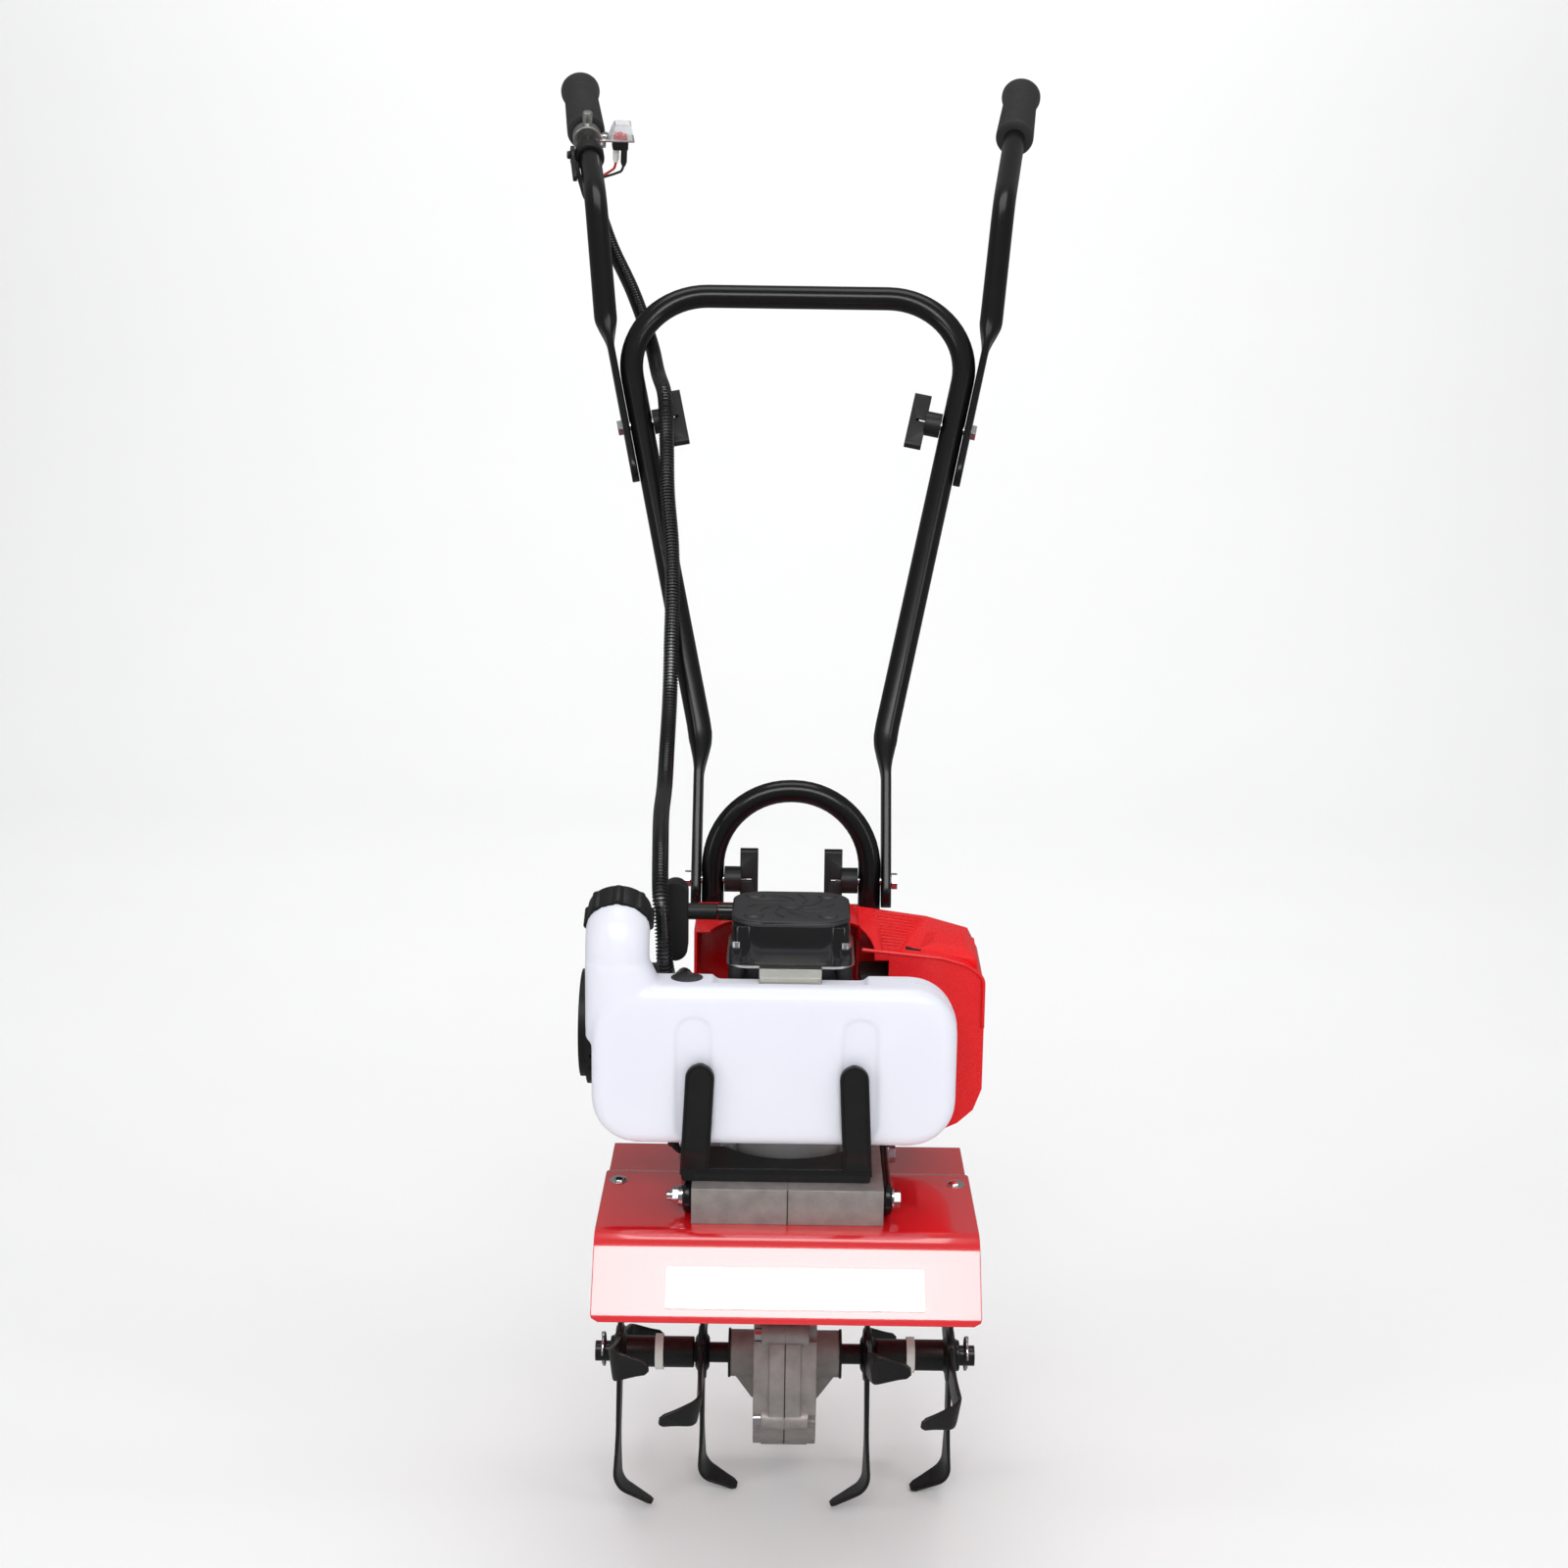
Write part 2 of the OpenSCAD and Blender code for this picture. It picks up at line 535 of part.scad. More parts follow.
module carburetor() color([0.72, 0.72, 0.73]) on_axle() translate([0, 110, crank_z]) difference() {
    union() {
        translate([-98, -20, -20]) cube([34, 40, 40]);
        xcyl(32, -108, -64);
        translate([-81, 0, 18]) cylinder(h = 12, d = 20);
        translate([-81, 0, -30]) cylinder(h = 12, d = 30);
    }
    xcyl(20, -120, -60);
}
module choke_lever() color([0.7, 0.7, 0.72]) on_axle() translate([-92, 110, crank_z]) {
    translate([0, -23.5, -8]) rotate([90, 0, 0]) linear_extrude(2) {
        circle(7);
        translate([-4, 0]) square([8, 22]);
    }
    translate([0, -20.3, -8]) rotate([90, 0, 0]) cylinder(h = 6, d = 5);
}
filter_y = 80;
module air_filter_base() color([0.08, 0.08, 0.08]) on_axle() translate([0, filter_y, crank_z])
    difference() {
        union() {
            xcyl(98, -118, -113);
            translate([0, 30, 0]) xcyl(44, -113, -108.2);
        }
        translate([0, 30, 0]) xcyl(20, -130, -100);
    }
module air_filter_element() color([0.2, 0.2, 0.2]) on_axle() translate([0, filter_y, crank_z])
    difference() {
        xcyl(88, -142, -118);
        xcyl(30, -150, -130);
    }
module air_filter_cover() color([0.06, 0.06, 0.06]) on_axle() translate([0, filter_y, crank_z])
    difference() {
        union() {
            xcyl(104, -172, -113);
            xcyl(92, -178, -172);
        }
        xcyl(98.2, -160, -112);
        xcyl(84, -175, -159);
        for (a = [0:15:345]) rotate([a, 0, 0]) translate([-168, -2, 46]) cube([30, 4, 8]);
    }
// Hose from the tank's rear face to the carburetor's lower front
module fuel_lines() color([0.75, 0.7, 0.4]) on_axle() for (x = [-70, -79])
    swept(bent_path([[x, tank_rear, 436], [x, 16, 436], [x, 16, 404], [x, 89.9, 404]],
        [0, 8, 8, 0]), 5, 8);

// ---------- fixed arch ----------
strip_x = 82;             // middle of the flattened arch ends
strip_z = fender_z + 14;
up = [0, sin(arch_lean), cos(arch_lean)];
pivot = [70, pivot_y, pivot_z];
arch_half = [[strip_x, 101.5, strip_z], [strip_x, 108, strip_z], [72, pivot_y - 17, strip_z],
    pivot - up * 130, pivot + up * 80];
arch_path = concat(arch_half, mirrored(arch_half));
arch_bends = [0, 60, 38, 300, 69, 69, 300, 38, 60, 0];
module handle_arch() color([0.07, 0.07, 0.07]) on_axle() difference() {
    union() {
        pipe(bent_path(arch_path, arch_bends), arch_d, wall);
        both_sides() translate([strip_x - 3.6, 84, strip_z]) rotate([90, 0, 90])
            translate([-56, 0]) linear_extrude(7.2) rotate([0, 0, 90]) stadium(26, 164);
    }
    both_sides() {
        for (y = [-40, 58]) translate([strip_x, y, strip_z]) xcyl(8.6, -20, 20);
        translate(pivot) xcyl(knob_bore, -20, 20);
    }
}
module frame_bolts() color([0.82, 0.82, 0.84]) on_axle() {
    translate([0, -40, strip_z]) {
        translate([block_w / 2 + 9.2, 0, 0]) rotate([0, 180, 0]) x_bolt(bolt_d, 186, 13, 5.4);
        both_sides() rotate([0, 90, 0]) translate([0, 0, block_w / 2 + 7.7]) tube(1.5, 18, bolt_d);
        translate([-block_w / 2 - 9.2, 0, 0]) rotate([0, -90, 0]) difference() {
            union() {
                hex(13, 7);
                cylinder(h = 2, d = 17);
            }
            translate([0, 0, -1]) cylinder(h = 9, d = bolt_d);
        }
    }
    both_sides() {
        translate([block_w / 2 + 9.2, 58, strip_z]) rotate([0, 180, 0]) x_bolt(7.9, 38, 13, 5.4);
        translate([0, 58, strip_z]) rotate([0, 90, 0]) translate([0, 0, block_w / 2 + 7.7])
            tube(1.5, 18, bolt_d);
        translate([leg_x + leg_t / 2 + 0.4, pivot_y, pivot_z]) rotate([0, 180, 0])
            x_bolt(bolt_d, 50, 13, 5);
    }
}
// Wing knob along +X, its face at the origin
module knob() color([0.07, 0.07, 0.07]) difference() {
    union() {
        xcyl(23, 0, 15);
        translate([14, -4, -24]) cube([16, 8, 48]);
        for (s = [-24, 24]) translate([0, 0, s]) xcyl(8, 14, 30);
    }
    xcyl(knob_bore, -1, 24);
}
module lower_knob(side) on_axle() flip(side) translate([59.6, pivot_y, pivot_z])
    rotate([10, 180, 0]) knob();
module lower_knob_left() lower_knob(-1);
module lower_knob_right() lower_knob(1);

// ---------- tines ----------
module tine_shaft() color([0.12, 0.12, 0.12]) on_axle() translate([0, 0, axle_z]) difference() {
    xcyl(shaft_d, -161, 161);
    both_sides() translate([154, 0, -20]) cylinder(h = 40, d = 4);
}
module worm_wheel() color([0.75, 0.6, 0.35]) on_axle() translate([0, 0, axle_z])
    rotate([0, 90, 0]) difference() {
        union() {
            translate([0, 0, -9]) linear_extrude(18) polygon([for (k = [0:4 * wheel_teeth - 1])
                let (r = k % 4 < 2 ? wheel_r : wheel_r - 4, a = 360 * (k + 0.5) / 4 / wheel_teeth)
                [r * cos(a), r * sin(a)]]);
            translate([0, 0, -12]) cylinder(h = 24, r = 15);
        }
        translate([0, 0, -13]) cylinder(h = 26, d = shaft_d);
    }
// One arm of a rotor, pointing down, its tip bent towards +X when way is 1
module tine_arm(way) {
    translate([-blade_t / 2, -blade_w / 2, -arm_r]) cube([blade_t, blade_w, arm_r - 6]);
    translate([0, 0, -arm_r]) mirror([way < 0 ? 1 : 0, 0, 0]) rotate([0, 90 - tip_bend, 0])
        translate([-blade_t / 2, 0, -blade_t / 2]) linear_extrude(blade_t)
            polygon([[0, -blade_w / 2], [tip_len + blade_t / 2, -6], [tip_len + blade_t / 2, 6],
                [0, blade_w / 2]]);
}
// Rotor of four arms at the angle a, with a hub from the plate out to x1
module rotor(a, ways, hub_d, x0, x1) rotate([-a, 0, 0]) difference() {
    union() {
        for (k = [0:3]) rotate([-90 * k, 0, 0]) tine_arm(ways[k]);
        xcyl(44, -3.5, 3.5);
        xcyl(hub_d, x0, x1);
    }
    xcyl(shaft_d, -100, 100);
}
module inner_rotors() color([0.08, 0.08, 0.08]) on_axle() for (side = [-1, 1])
    translate([side * inner_x, 0, axle_z]) rotor(side < 0 ? 0 : 20, side < 0 ? [1, -1, 1, -1]
        : [-1, 1, -1, 1], pipe_d, -6, 6);
module outer_rotors() color([0.08, 0.08, 0.08]) on_axle() for (side = [-1, 1])
    translate([side * outer_x, 0, axle_z]) rotor(side < 0 ? 20 : 0, [-side, -side, -side, -side],
        pipe_d, side < 0 ? -8 : -(outer_x - inner_x - 7), side < 0 ? outer_x - inner_x - 7 : 8);
module rotor_spacers() color([0.88, 0.87, 0.82]) on_axle() both_sides()
    translate([103, 0, axle_z]) rotate([0, 90, 0]) tube(7, pipe_d + 4, pipe_d);
module shaft_clips() color([0.85, 0.85, 0.86]) on_axle() both_sides()
    translate([154, 0, axle_z]) {
        translate([0, 0, -12]) cylinder(h = 30, d = 4);
        translate([0, 0, 14]) rotate([0, 90, 0]) translate([14, 0, 0]) difference() {
            translate([0, 0, -1.4]) cylinder(h = 2.8, d = 32);
            translate([0, 0, -3]) cylinder(h = 6, d = 26);
            translate([0, -20, -3]) cube([40, 20, 6]);
        }
    }

// ---------- folding handle ----------
frame_path = [[-bend_x - 1.6, 84, 0], [-bend_x, bend_s, 0],
    [-bend_x - leg_slope * (mid_len - bend_s), mid_len, 0],
    [bend_x + leg_slope * (mid_len - bend_s), mid_len, 0], [bend_x, bend_s, 0],
    [bend_x + 1.6, 84, 0]];
hinge_x = bend_x + leg_slope * (fold_len - bend_s);
// Frame of the upper pivot: origin on the leg's middle line, X out through the
// bolt, Y up along the leg
module on_fold(side) on_frame() flip(side) translate([hinge_x, fold_len, 0])
    rotate([0, 0, -tilt]) children();
module middle_frame() color([0.07, 0.07, 0.07]) difference() {
    union() {
        on_frame() pipe(bent_path(frame_path, [0, 120, corner_r, corner_r, 120, 0]), tube_d, wall);
        on_frame() both_sides() translate([leg_x, -24, 0]) rotate([-90, 0, 0])
            linear_extrude(122) stadium(leg_t, 29);
    }
    on_axle() both_sides() translate([leg_x, pivot_y, pivot_z]) xcyl(knob_bore, -10, 10);
    for (side = [-1, 1]) on_fold(side) xcyl(bolt_d + 2 * run, -20, 20);
}
module upper_bolts() color([0.82, 0.82, 0.84]) for (side = [-1, 1]) on_fold(side)
    translate([tube_d / 2 + 0.3 + strip_t + 0.4, 0, 0]) rotate([0, 180, 0])
        x_bolt(bolt_d, 50, 13, 5);
module upper_knob(side) on_fold(side) translate([-tube_d / 2 - 0.4, 0, 0])
    rotate([90, 180, 0]) knob();
module upper_knob_left() upper_knob(-1);
module upper_knob_right() upper_knob(1);

// Upper handle in the frame of the upper pivot: strip, then the round tube
strip_x_off = tube_d / 2 + 0.3 + strip_t / 2;
strip_top = 114;                // start of the round tube above the pivot
elbow = [198.5, 504, 1091];     // in the shaft's frame
grip_end = [233.5, 740, 1207];
grip_dir = unit(grip_end - elbow);
// A point of the folding plane, given as [x, s], in the shaft's frame
function plane_point(x, s) = [x, pivot_y + s * sin(handle_lean), pivot_z + s * cos(handle_lean)];
strip_foot = plane_point(hinge_x + strip_x_off * cos(tilt) + strip_top * sin(tilt),
    fold_len - strip_x_off * sin(tilt) + strip_top * cos(tilt));
handle_path = [strip_foot, elbow, grip_end - grip_dir * 3];
module handle_tube(side) color([0.07, 0.07, 0.07]) difference() {
    union() {
        on_axle() flip(side) pipe(bent_path(handle_path, [0, 70, 0]), tube_d, wall);
        on_fold(side) translate([strip_x_off, 0, 0]) rotate([-90, 0, 0]) translate([0, 0, -56])
            linear_extrude(strip_top + 64) stadium(strip_t, 30);
    }
    on_fold(side) xcyl(bolt_d + 2 * run, -20, 40);
}
module handle_left() handle_tube(-1);
module handle_right() handle_tube(1);
module along_grip(side) on_axle() flip(side) translate(grip_end)
    rotate([0, acos(grip_dir.z), atan2(grip_dir.y, grip_dir.x)]) children();
module grip(side) color([0.12, 0.12, 0.12]) along_grip(side) translate([0, 0, -grip_l])
    rotate_extrude() polygon([[tube_d / 2, 0], [18.5, 0], [18.5, 5], [16, 9], [16, 60],
        [16.6, 90], [18.5, 100], [grip_d / 2, grip_l - 5], [grip_d / 2, grip_l], [0, grip_l],
        [0, grip_l - 3], [tube_d / 2, grip_l - 3]]);
module grip_left() grip(-1);
module grip_right() grip(1);

// ---------- controls on the left handle ----------
// Frame on the left tube, d before the grip end: Z along the tube, X inward
module on_left_tube(d) on_axle() mirror([1, 0, 0]) translate(grip_end - grip_dir * d)
    rotate([0, acos(grip_dir.z), atan2(grip_dir.y, grip_dir.x)]) rotate([0, 0, 90]) children();
rocker_at = [34, 1, 0];         // its pivot beside the tube
module switch_body() color([0.1, 0.1, 0.1]) on_left_tube(122) difference() {
    union() {
        translate([0, 0, -8]) cylinder(h = 14, d = 29);
        translate([12, -1, -9]) cube([36, 2, 18]);
        translate([26, -10, -8]) cube([16, 9.5, 16]);
    }
    translate([0, 0, -9]) cylinder(h = 16, d = tube_d);
    translate([27, -6, -4.9]) cube([14, 12, 9.8]);
}
module switch_rocker() color([0.85, 0.08, 0.08]) on_left_tube(122) translate(rocker_at)
    translate([0, 0, -4.5]) linear_extrude(9) {
        circle(4);
        polygon([[-6.4, 0], [6.4, 0], [6.4, 2.4], [0, 1.4], [-6.4, 4.6]]);
    }
module throttle_clamp() color([0.08, 0.08, 0.08]) on_left_tube(166) {
    difference() {
        union() {
            translate([0, 0, -8]) cylinder(h = 16, d = 29);
            xcyl(5, -20, -12);
        }
        translate([0, 0, -9]) cylinder(h = 18, d = tube_d);
    }
    xcyl(8, -21.4, -19.4);
}
module throttle_lever() color([0.08, 0.08, 0.08]) on_left_tube(166) translate([-15, 0, 0])
    rotate([0, -90, 0]) linear_extrude(4) difference() {
        union() {
            circle(9);
            translate([-46, -7]) square([46, 10]);
            translate([-46, -2]) circle(5);
        }
        circle(d = 5 + 2 * run);
    }
conduit_points = [[-188, 520, 1072], [-178, 508, 1042], [-161, 486, 1002], [-142, 455, 956],
    [-133, 420, 928], [-124, 376, 908], [-121, 354, 866], [-119, 334, 822], [-114, 312, 778],
    [-112, 290, 734], [-112, 268, 690], [-112, 246, 646], [-113, 218, 606], [-113, 178, 579],
    [-113, 126, 566], [-111, 76, 548], [-109, 38, 520], [-106, 26, 490], [-104, 24, 462],
    [-100, 36, 440], [-96, 56, 436], [-90, 78, 436]];
module control_conduit() color([0.05, 0.05, 0.05]) on_axle() swept(route(conduit_points, 2), 14, 10);

gearbox_left_half();
gearbox_right_half();
housing_screws();
ball_bearings();
shaft_seals();
fender_front();
fender_rear();
fender_screws();
clutch_housing();
tank_bracket();
fuel_tank();
starter_plate();
crankcase();
cylinder_barrel();  // cylinder
spark_plug();
plug_cap();
engine_cover();
muffler();
carburetor();
intake_manifold();
air_filter_base();
air_filter_element();
air_filter_cover();
starter_housing();
fan_housing();
ignition_coil();
handle_arch();
frame_bolts();
fuel_lines();
control_conduit();
lower_knob_left();
lower_knob_right();
tine_shaft();
worm_wheel();
inner_rotors();
outer_rotors();
rotor_spacers();
shaft_clips();
worm_shaft();
clutch_drum();
crankshaft();
flywheel();
clutch_shoes();
piston();
starter_handle();
starter_reel();
fuel_cap();
middle_frame();
upper_bolts();
upper_knob_left();
upper_knob_right();
handle_left();
handle_right();
grip_left();
grip_right();
throttle_clamp();
throttle_lever();
switch_body();
switch_rocker();
choke_lever();
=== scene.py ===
import json
import math

import bpy
import bmesh
from mathutils import Matrix, Vector


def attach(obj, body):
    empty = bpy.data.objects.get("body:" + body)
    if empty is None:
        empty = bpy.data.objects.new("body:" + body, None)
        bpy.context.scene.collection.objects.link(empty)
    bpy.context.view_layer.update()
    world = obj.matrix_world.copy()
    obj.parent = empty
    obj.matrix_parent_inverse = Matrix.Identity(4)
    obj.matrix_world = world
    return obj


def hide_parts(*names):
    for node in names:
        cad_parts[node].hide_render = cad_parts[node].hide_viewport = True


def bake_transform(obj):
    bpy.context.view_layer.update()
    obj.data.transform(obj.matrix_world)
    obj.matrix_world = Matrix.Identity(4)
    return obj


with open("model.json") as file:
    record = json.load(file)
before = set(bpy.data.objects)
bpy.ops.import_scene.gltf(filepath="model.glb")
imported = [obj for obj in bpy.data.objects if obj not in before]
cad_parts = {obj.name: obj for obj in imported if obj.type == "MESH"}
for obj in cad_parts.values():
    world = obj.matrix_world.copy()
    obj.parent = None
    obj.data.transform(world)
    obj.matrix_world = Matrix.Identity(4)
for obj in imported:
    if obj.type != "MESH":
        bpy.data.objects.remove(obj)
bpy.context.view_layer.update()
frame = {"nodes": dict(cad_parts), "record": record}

# Driving sizes shared with the CAD source, in millimetres
AXLE_Y, AXLE_Z = -309, 125.73       # tine shaft, in the row frame
WORM_Y = 52                         # worm shaft and crank, behind the tine shaft
FENDER_Z = 270                      # top of the fender
PIVOT_Y, PIVOT_Z = 186, 493         # axis of the frame's fold
LEAN = math.radians(28)             # of the handle, back from vertical
SLOPE = 0.2066                      # of its legs, outward for each millimetre up
TILT = math.atan(SLOPE)
FOLD_S, FRAME_S = 439.5, 573.5      # upper fold and top bar, up the handle
BEND_S, BEND_X = 130.5, 83          # where the legs start to spread
GRIP_L = 112                        # length of a grip
X_WAY, Y_WAY, Z_WAY = Vector((1, 0, 0)), Vector((0, 1, 0)), Vector((0, 0, 1))


def m(x, y, z):
    """A point of the row frame in metres, given in millimetres with y counted from the tine shaft."""
    return Vector((x, y + AXLE_Y, z)) / 1000


# ---------- materials ----------
def link(nodes, links, kind, **inputs):
    """New shader node, its inputs set to values or linked to outputs."""
    node = nodes.new(kind)
    for key, value in inputs.items():
        socket = node.inputs[key.replace("_", " ")]
        if hasattr(value, "links"):
            links.new(value, socket)
        else:
            socket.default_value = value
    return node


def finish_of(name, light, dark, rough, metal=0.0, coat=0.0, spread=18, grain=(900, 0.12),
              edge=0.0006, sheen=0.0, soft=0.0, rough_spread=0.1, band=None, streak=None, shine=0.5):
    """Material of a light and a dark tone mixed by noise, with fine grain, worn roughness, eased edges."""
    mat = bpy.data.materials.new(name)
    mat.use_nodes = True
    tree = mat.node_tree
    nodes, links = tree.nodes, tree.links
    shader = nodes["Principled BSDF"]
    place = nodes.new("ShaderNodeTexCoord").outputs["Object"]
    if streak:
        place = link(nodes, links, "ShaderNodeMapping", Vector=place, Scale=streak).outputs["Vector"]
    broad = link(nodes, links, "ShaderNodeTexNoise", Vector=place, Scale=float(spread), Detail=4.0)
    tone = nodes.new("ShaderNodeMix")
    tone.data_type = "RGBA"
    links.new(broad.outputs["Fac"], tone.inputs["Factor"])
    tone.inputs["A"].default_value = (*dark, 1)
    tone.inputs["B"].default_value = (*light, 1)
    colour = tone.outputs["Result"]
    fine = link(nodes, links, "ShaderNodeTexNoise", Vector=place, Scale=float(grain[0]), Detail=3.0)
    worn = nodes.new("ShaderNodeMapRange")
    links.new(fine.outputs["Fac"], worn.inputs["Value"])
    worn.inputs["To Min"].default_value = max(0.02, rough - rough_spread)
    worn.inputs["To Max"].default_value = min(1.0, rough + rough_spread)
    eased = nodes.new("ShaderNodeBevel")
    eased.samples = 3
    eased.inputs["Radius"].default_value = edge
    height = fine.outputs["Fac"]
    if band:
        wave = link(nodes, links, "ShaderNodeTexWave", Vector=place, Scale=float(band[0]), Distortion=0.4)
        wave.bands_direction = band[2]
        summed = nodes.new("ShaderNodeMath")
        summed.operation = "MULTIPLY_ADD"
        links.new(wave.outputs["Fac"], summed.inputs[0])
        summed.inputs[1].default_value = band[1]
        links.new(height, summed.inputs[2])
        height = summed.outputs[0]
    bump = link(nodes, links, "ShaderNodeBump", Height=height, Strength=float(grain[1]), Distance=0.0005,
                Normal=eased.outputs["Normal"])
    links.new(colour, shader.inputs["Base Color"])
    links.new(worn.outputs["Result"], shader.inputs["Roughness"])
    links.new(bump.outputs["Normal"], shader.inputs["Normal"])
    shader.inputs["Metallic"].default_value = metal
    shader.inputs["Coat Weight"].default_value = coat
    shader.inputs["Coat Roughness"].default_value = 0.06
    shader.inputs["Specular IOR Level"].default_value = shine
    shader.inputs["Sheen Weight"].default_value = sheen
    if soft:
        shader.inputs["Subsurface Weight"].default_value = soft
        shader.inputs["Subsurface Radius"].default_value = (0.02, 0.02, 0.022)
        shader.inputs["Subsurface Scale"].default_value = 1.0
    mat.diffuse_color = (*light, 1)
    return mat


CAST = finish_of("cast", (0.46, 0.42, 0.4), (0.2, 0.18, 0.172), 0.46, 0.4, spread=70,
                 grain=(520, 0.6), edge=0.0016, rough_spread=0.14)
CAST_LIGHT = finish_of("cast_machined", (0.78, 0.77, 0.76), (0.58, 0.57, 0.56), 0.42, 0.35, spread=50,
                       grain=(700, 0.25), edge=0.0008)
ZINC = finish_of("zinc", (0.7, 0.71, 0.73), (0.52, 0.53, 0.56), 0.24, 1.0, spread=90,
              grain=(1500, 0.05))
ZINC_PLATE = finish_of("zinc_plate", (0.74, 0.73, 0.68), (0.56, 0.56, 0.55), 0.34, 1.0, spread=40,
                       grain=(900, 0.08))
CHROME = finish_of("chrome", (0.92, 0.92, 0.93), (0.84, 0.84, 0.86), 0.1, 1.0, spread=60,
                   grain=(1800, 0.03), rough_spread=0.04)
STEEL = finish_of("ground_steel", (0.68, 0.69, 0.71), (0.5, 0.51, 0.53), 0.28, 1.0, spread=70,
                  grain=(1200, 0.08), streak=(1, 1, 8))
BLACK_PAINT = finish_of("black_paint", (0.008, 0.008, 0.009), (0.004, 0.004, 0.0045), 0.24, 0.0, 0.12,
                        spread=30, grain=(650, 0.05), rough_spread=0.05, shine=0.3)
TINE_PAINT = finish_of("tine_paint", (0.016, 0.015, 0.015), (0.007, 0.007, 0.007), 0.3, 0.0, 0.2,
                       spread=35, grain=(380, 0.16), rough_spread=0.08, edge=0.001, shine=0.4)
BLACK_PLASTIC = finish_of("black_plastic", (0.014, 0.014, 0.015), (0.008, 0.008, 0.0085), 0.42,
                          spread=50, grain=(1700, 0.16), edge=0.0009, shine=0.35)
BLACK_GLOSS = finish_of("black_gloss", (0.01, 0.01, 0.011), (0.006, 0.006, 0.0065), 0.16, coat=0.3,
                        spread=30, grain=(900, 0.04), rough_spread=0.04, edge=0.001, shine=0.4)
CAP_GREY = finish_of("starter_cap_grey", (0.038, 0.038, 0.04), (0.024, 0.024, 0.026), 0.46, spread=40,
                     grain=(1500, 0.25), edge=0.0015)
RUBBER = finish_of("rubber", (0.014, 0.014, 0.014), (0.008, 0.008, 0.008), 0.6, spread=45,
                   grain=(800, 0.25))
GRIP = finish_of("grip_rubber", (0.026, 0.026, 0.027), (0.015, 0.015, 0.016), 0.78, spread=60,
                 grain=(900, 0.4), sheen=0.06, shine=0.35)
SLEEVE = finish_of("conduit_plastic", (0.014, 0.014, 0.015), (0.008, 0.008, 0.0085), 0.2, coat=0.8,
                   spread=40, grain=(1400, 0.03), rough_spread=0.04, shine=0.8, edge=0.0002)
RED_PAINT = finish_of("red_paint", (0.8, 0.005, 0.012), (0.7, 0.003, 0.009), 0.2, coat=1.0, spread=12,
                      grain=(420, 0.01), rough_spread=0.03, edge=0.0008, shine=0.9)
RED_PAINT.node_tree.nodes["Principled BSDF"].inputs["Coat IOR"].default_value = 1.8
RED_PLASTIC = finish_of("red_plastic", (0.9, 0.004, 0.008), (0.78, 0.003, 0.006), 0.28, coat=0.35,
                        spread=20, grain=(1500, 0.08), edge=0.0015)
TANK = finish_of("tank_plastic", (0.84, 0.85, 0.93), (0.8, 0.81, 0.9), 0.34, spread=10,
                 grain=(520, 0.04), soft=0.25, edge=0.001)
HOT_STEEL = finish_of("exhaust_steel", (0.075, 0.07, 0.068), (0.035, 0.032, 0.031), 0.6, 0.4, spread=45,
                      grain=(500, 0.4))
BRONZE = finish_of("bronze", (0.62, 0.42, 0.18), (0.5, 0.33, 0.13), 0.35, 1.0, spread=50,
                   grain=(900, 0.1))
NYLON = finish_of("white_nylon", (0.85, 0.84, 0.79), (0.78, 0.77, 0.71), 0.4, spread=60,
                  grain=(1200, 0.1), soft=0.15)
FOAM = finish_of("filter_foam", (0.06, 0.06, 0.06), (0.02, 0.02, 0.02), 0.95, spread=400,
                 grain=(700, 1.0))
HOSE = finish_of("amber_hose", (0.62, 0.5, 0.22), (0.5, 0.38, 0.14), 0.22, coat=0.3, spread=60,
                 grain=(900, 0.06), soft=0.2)
RED_ROCKER = finish_of("red_rocker", (0.75, 0.02, 0.02), (0.62, 0.012, 0.012), 0.25, coat=0.4,
                       spread=80, grain=(1500, 0.06))
WIRE_RED = finish_of("wire_red", (0.7, 0.02, 0.02), (0.5, 0.012, 0.012), 0.35, spread=90,
                     grain=(1500, 0.1))
BRAID = finish_of("starter_rope", (0.1, 0.1, 0.1), (0.03, 0.03, 0.03), 0.8, spread=700,
                  grain=(900, 0.8), band=(420, 2.0, "X"))
LABEL = finish_of("blank_label", (0.86, 0.86, 0.87), (0.8, 0.8, 0.82), 0.3, coat=0.4, spread=30,
                  grain=(1200, 0.03))
LABEL_DARK = finish_of("dark_label", (0.05, 0.05, 0.055), (0.03, 0.03, 0.033), 0.3, coat=0.4, spread=90,
                       grain=(1200, 0.04))


def clear_plastic():
    """See-through plastic of the kill switch's hood."""
    mat = finish_of("clear_hood", (0.9, 0.92, 0.93), (0.84, 0.86, 0.88), 0.08, spread=40,
                    grain=(900, 0.04), rough_spread=0.03)
    shader = mat.node_tree.nodes["Principled BSDF"]
    shader.inputs["Transmission Weight"].default_value = 0.9
    shader.inputs["IOR"].default_value = 1.2
    return mat


CLEAR = clear_plastic()

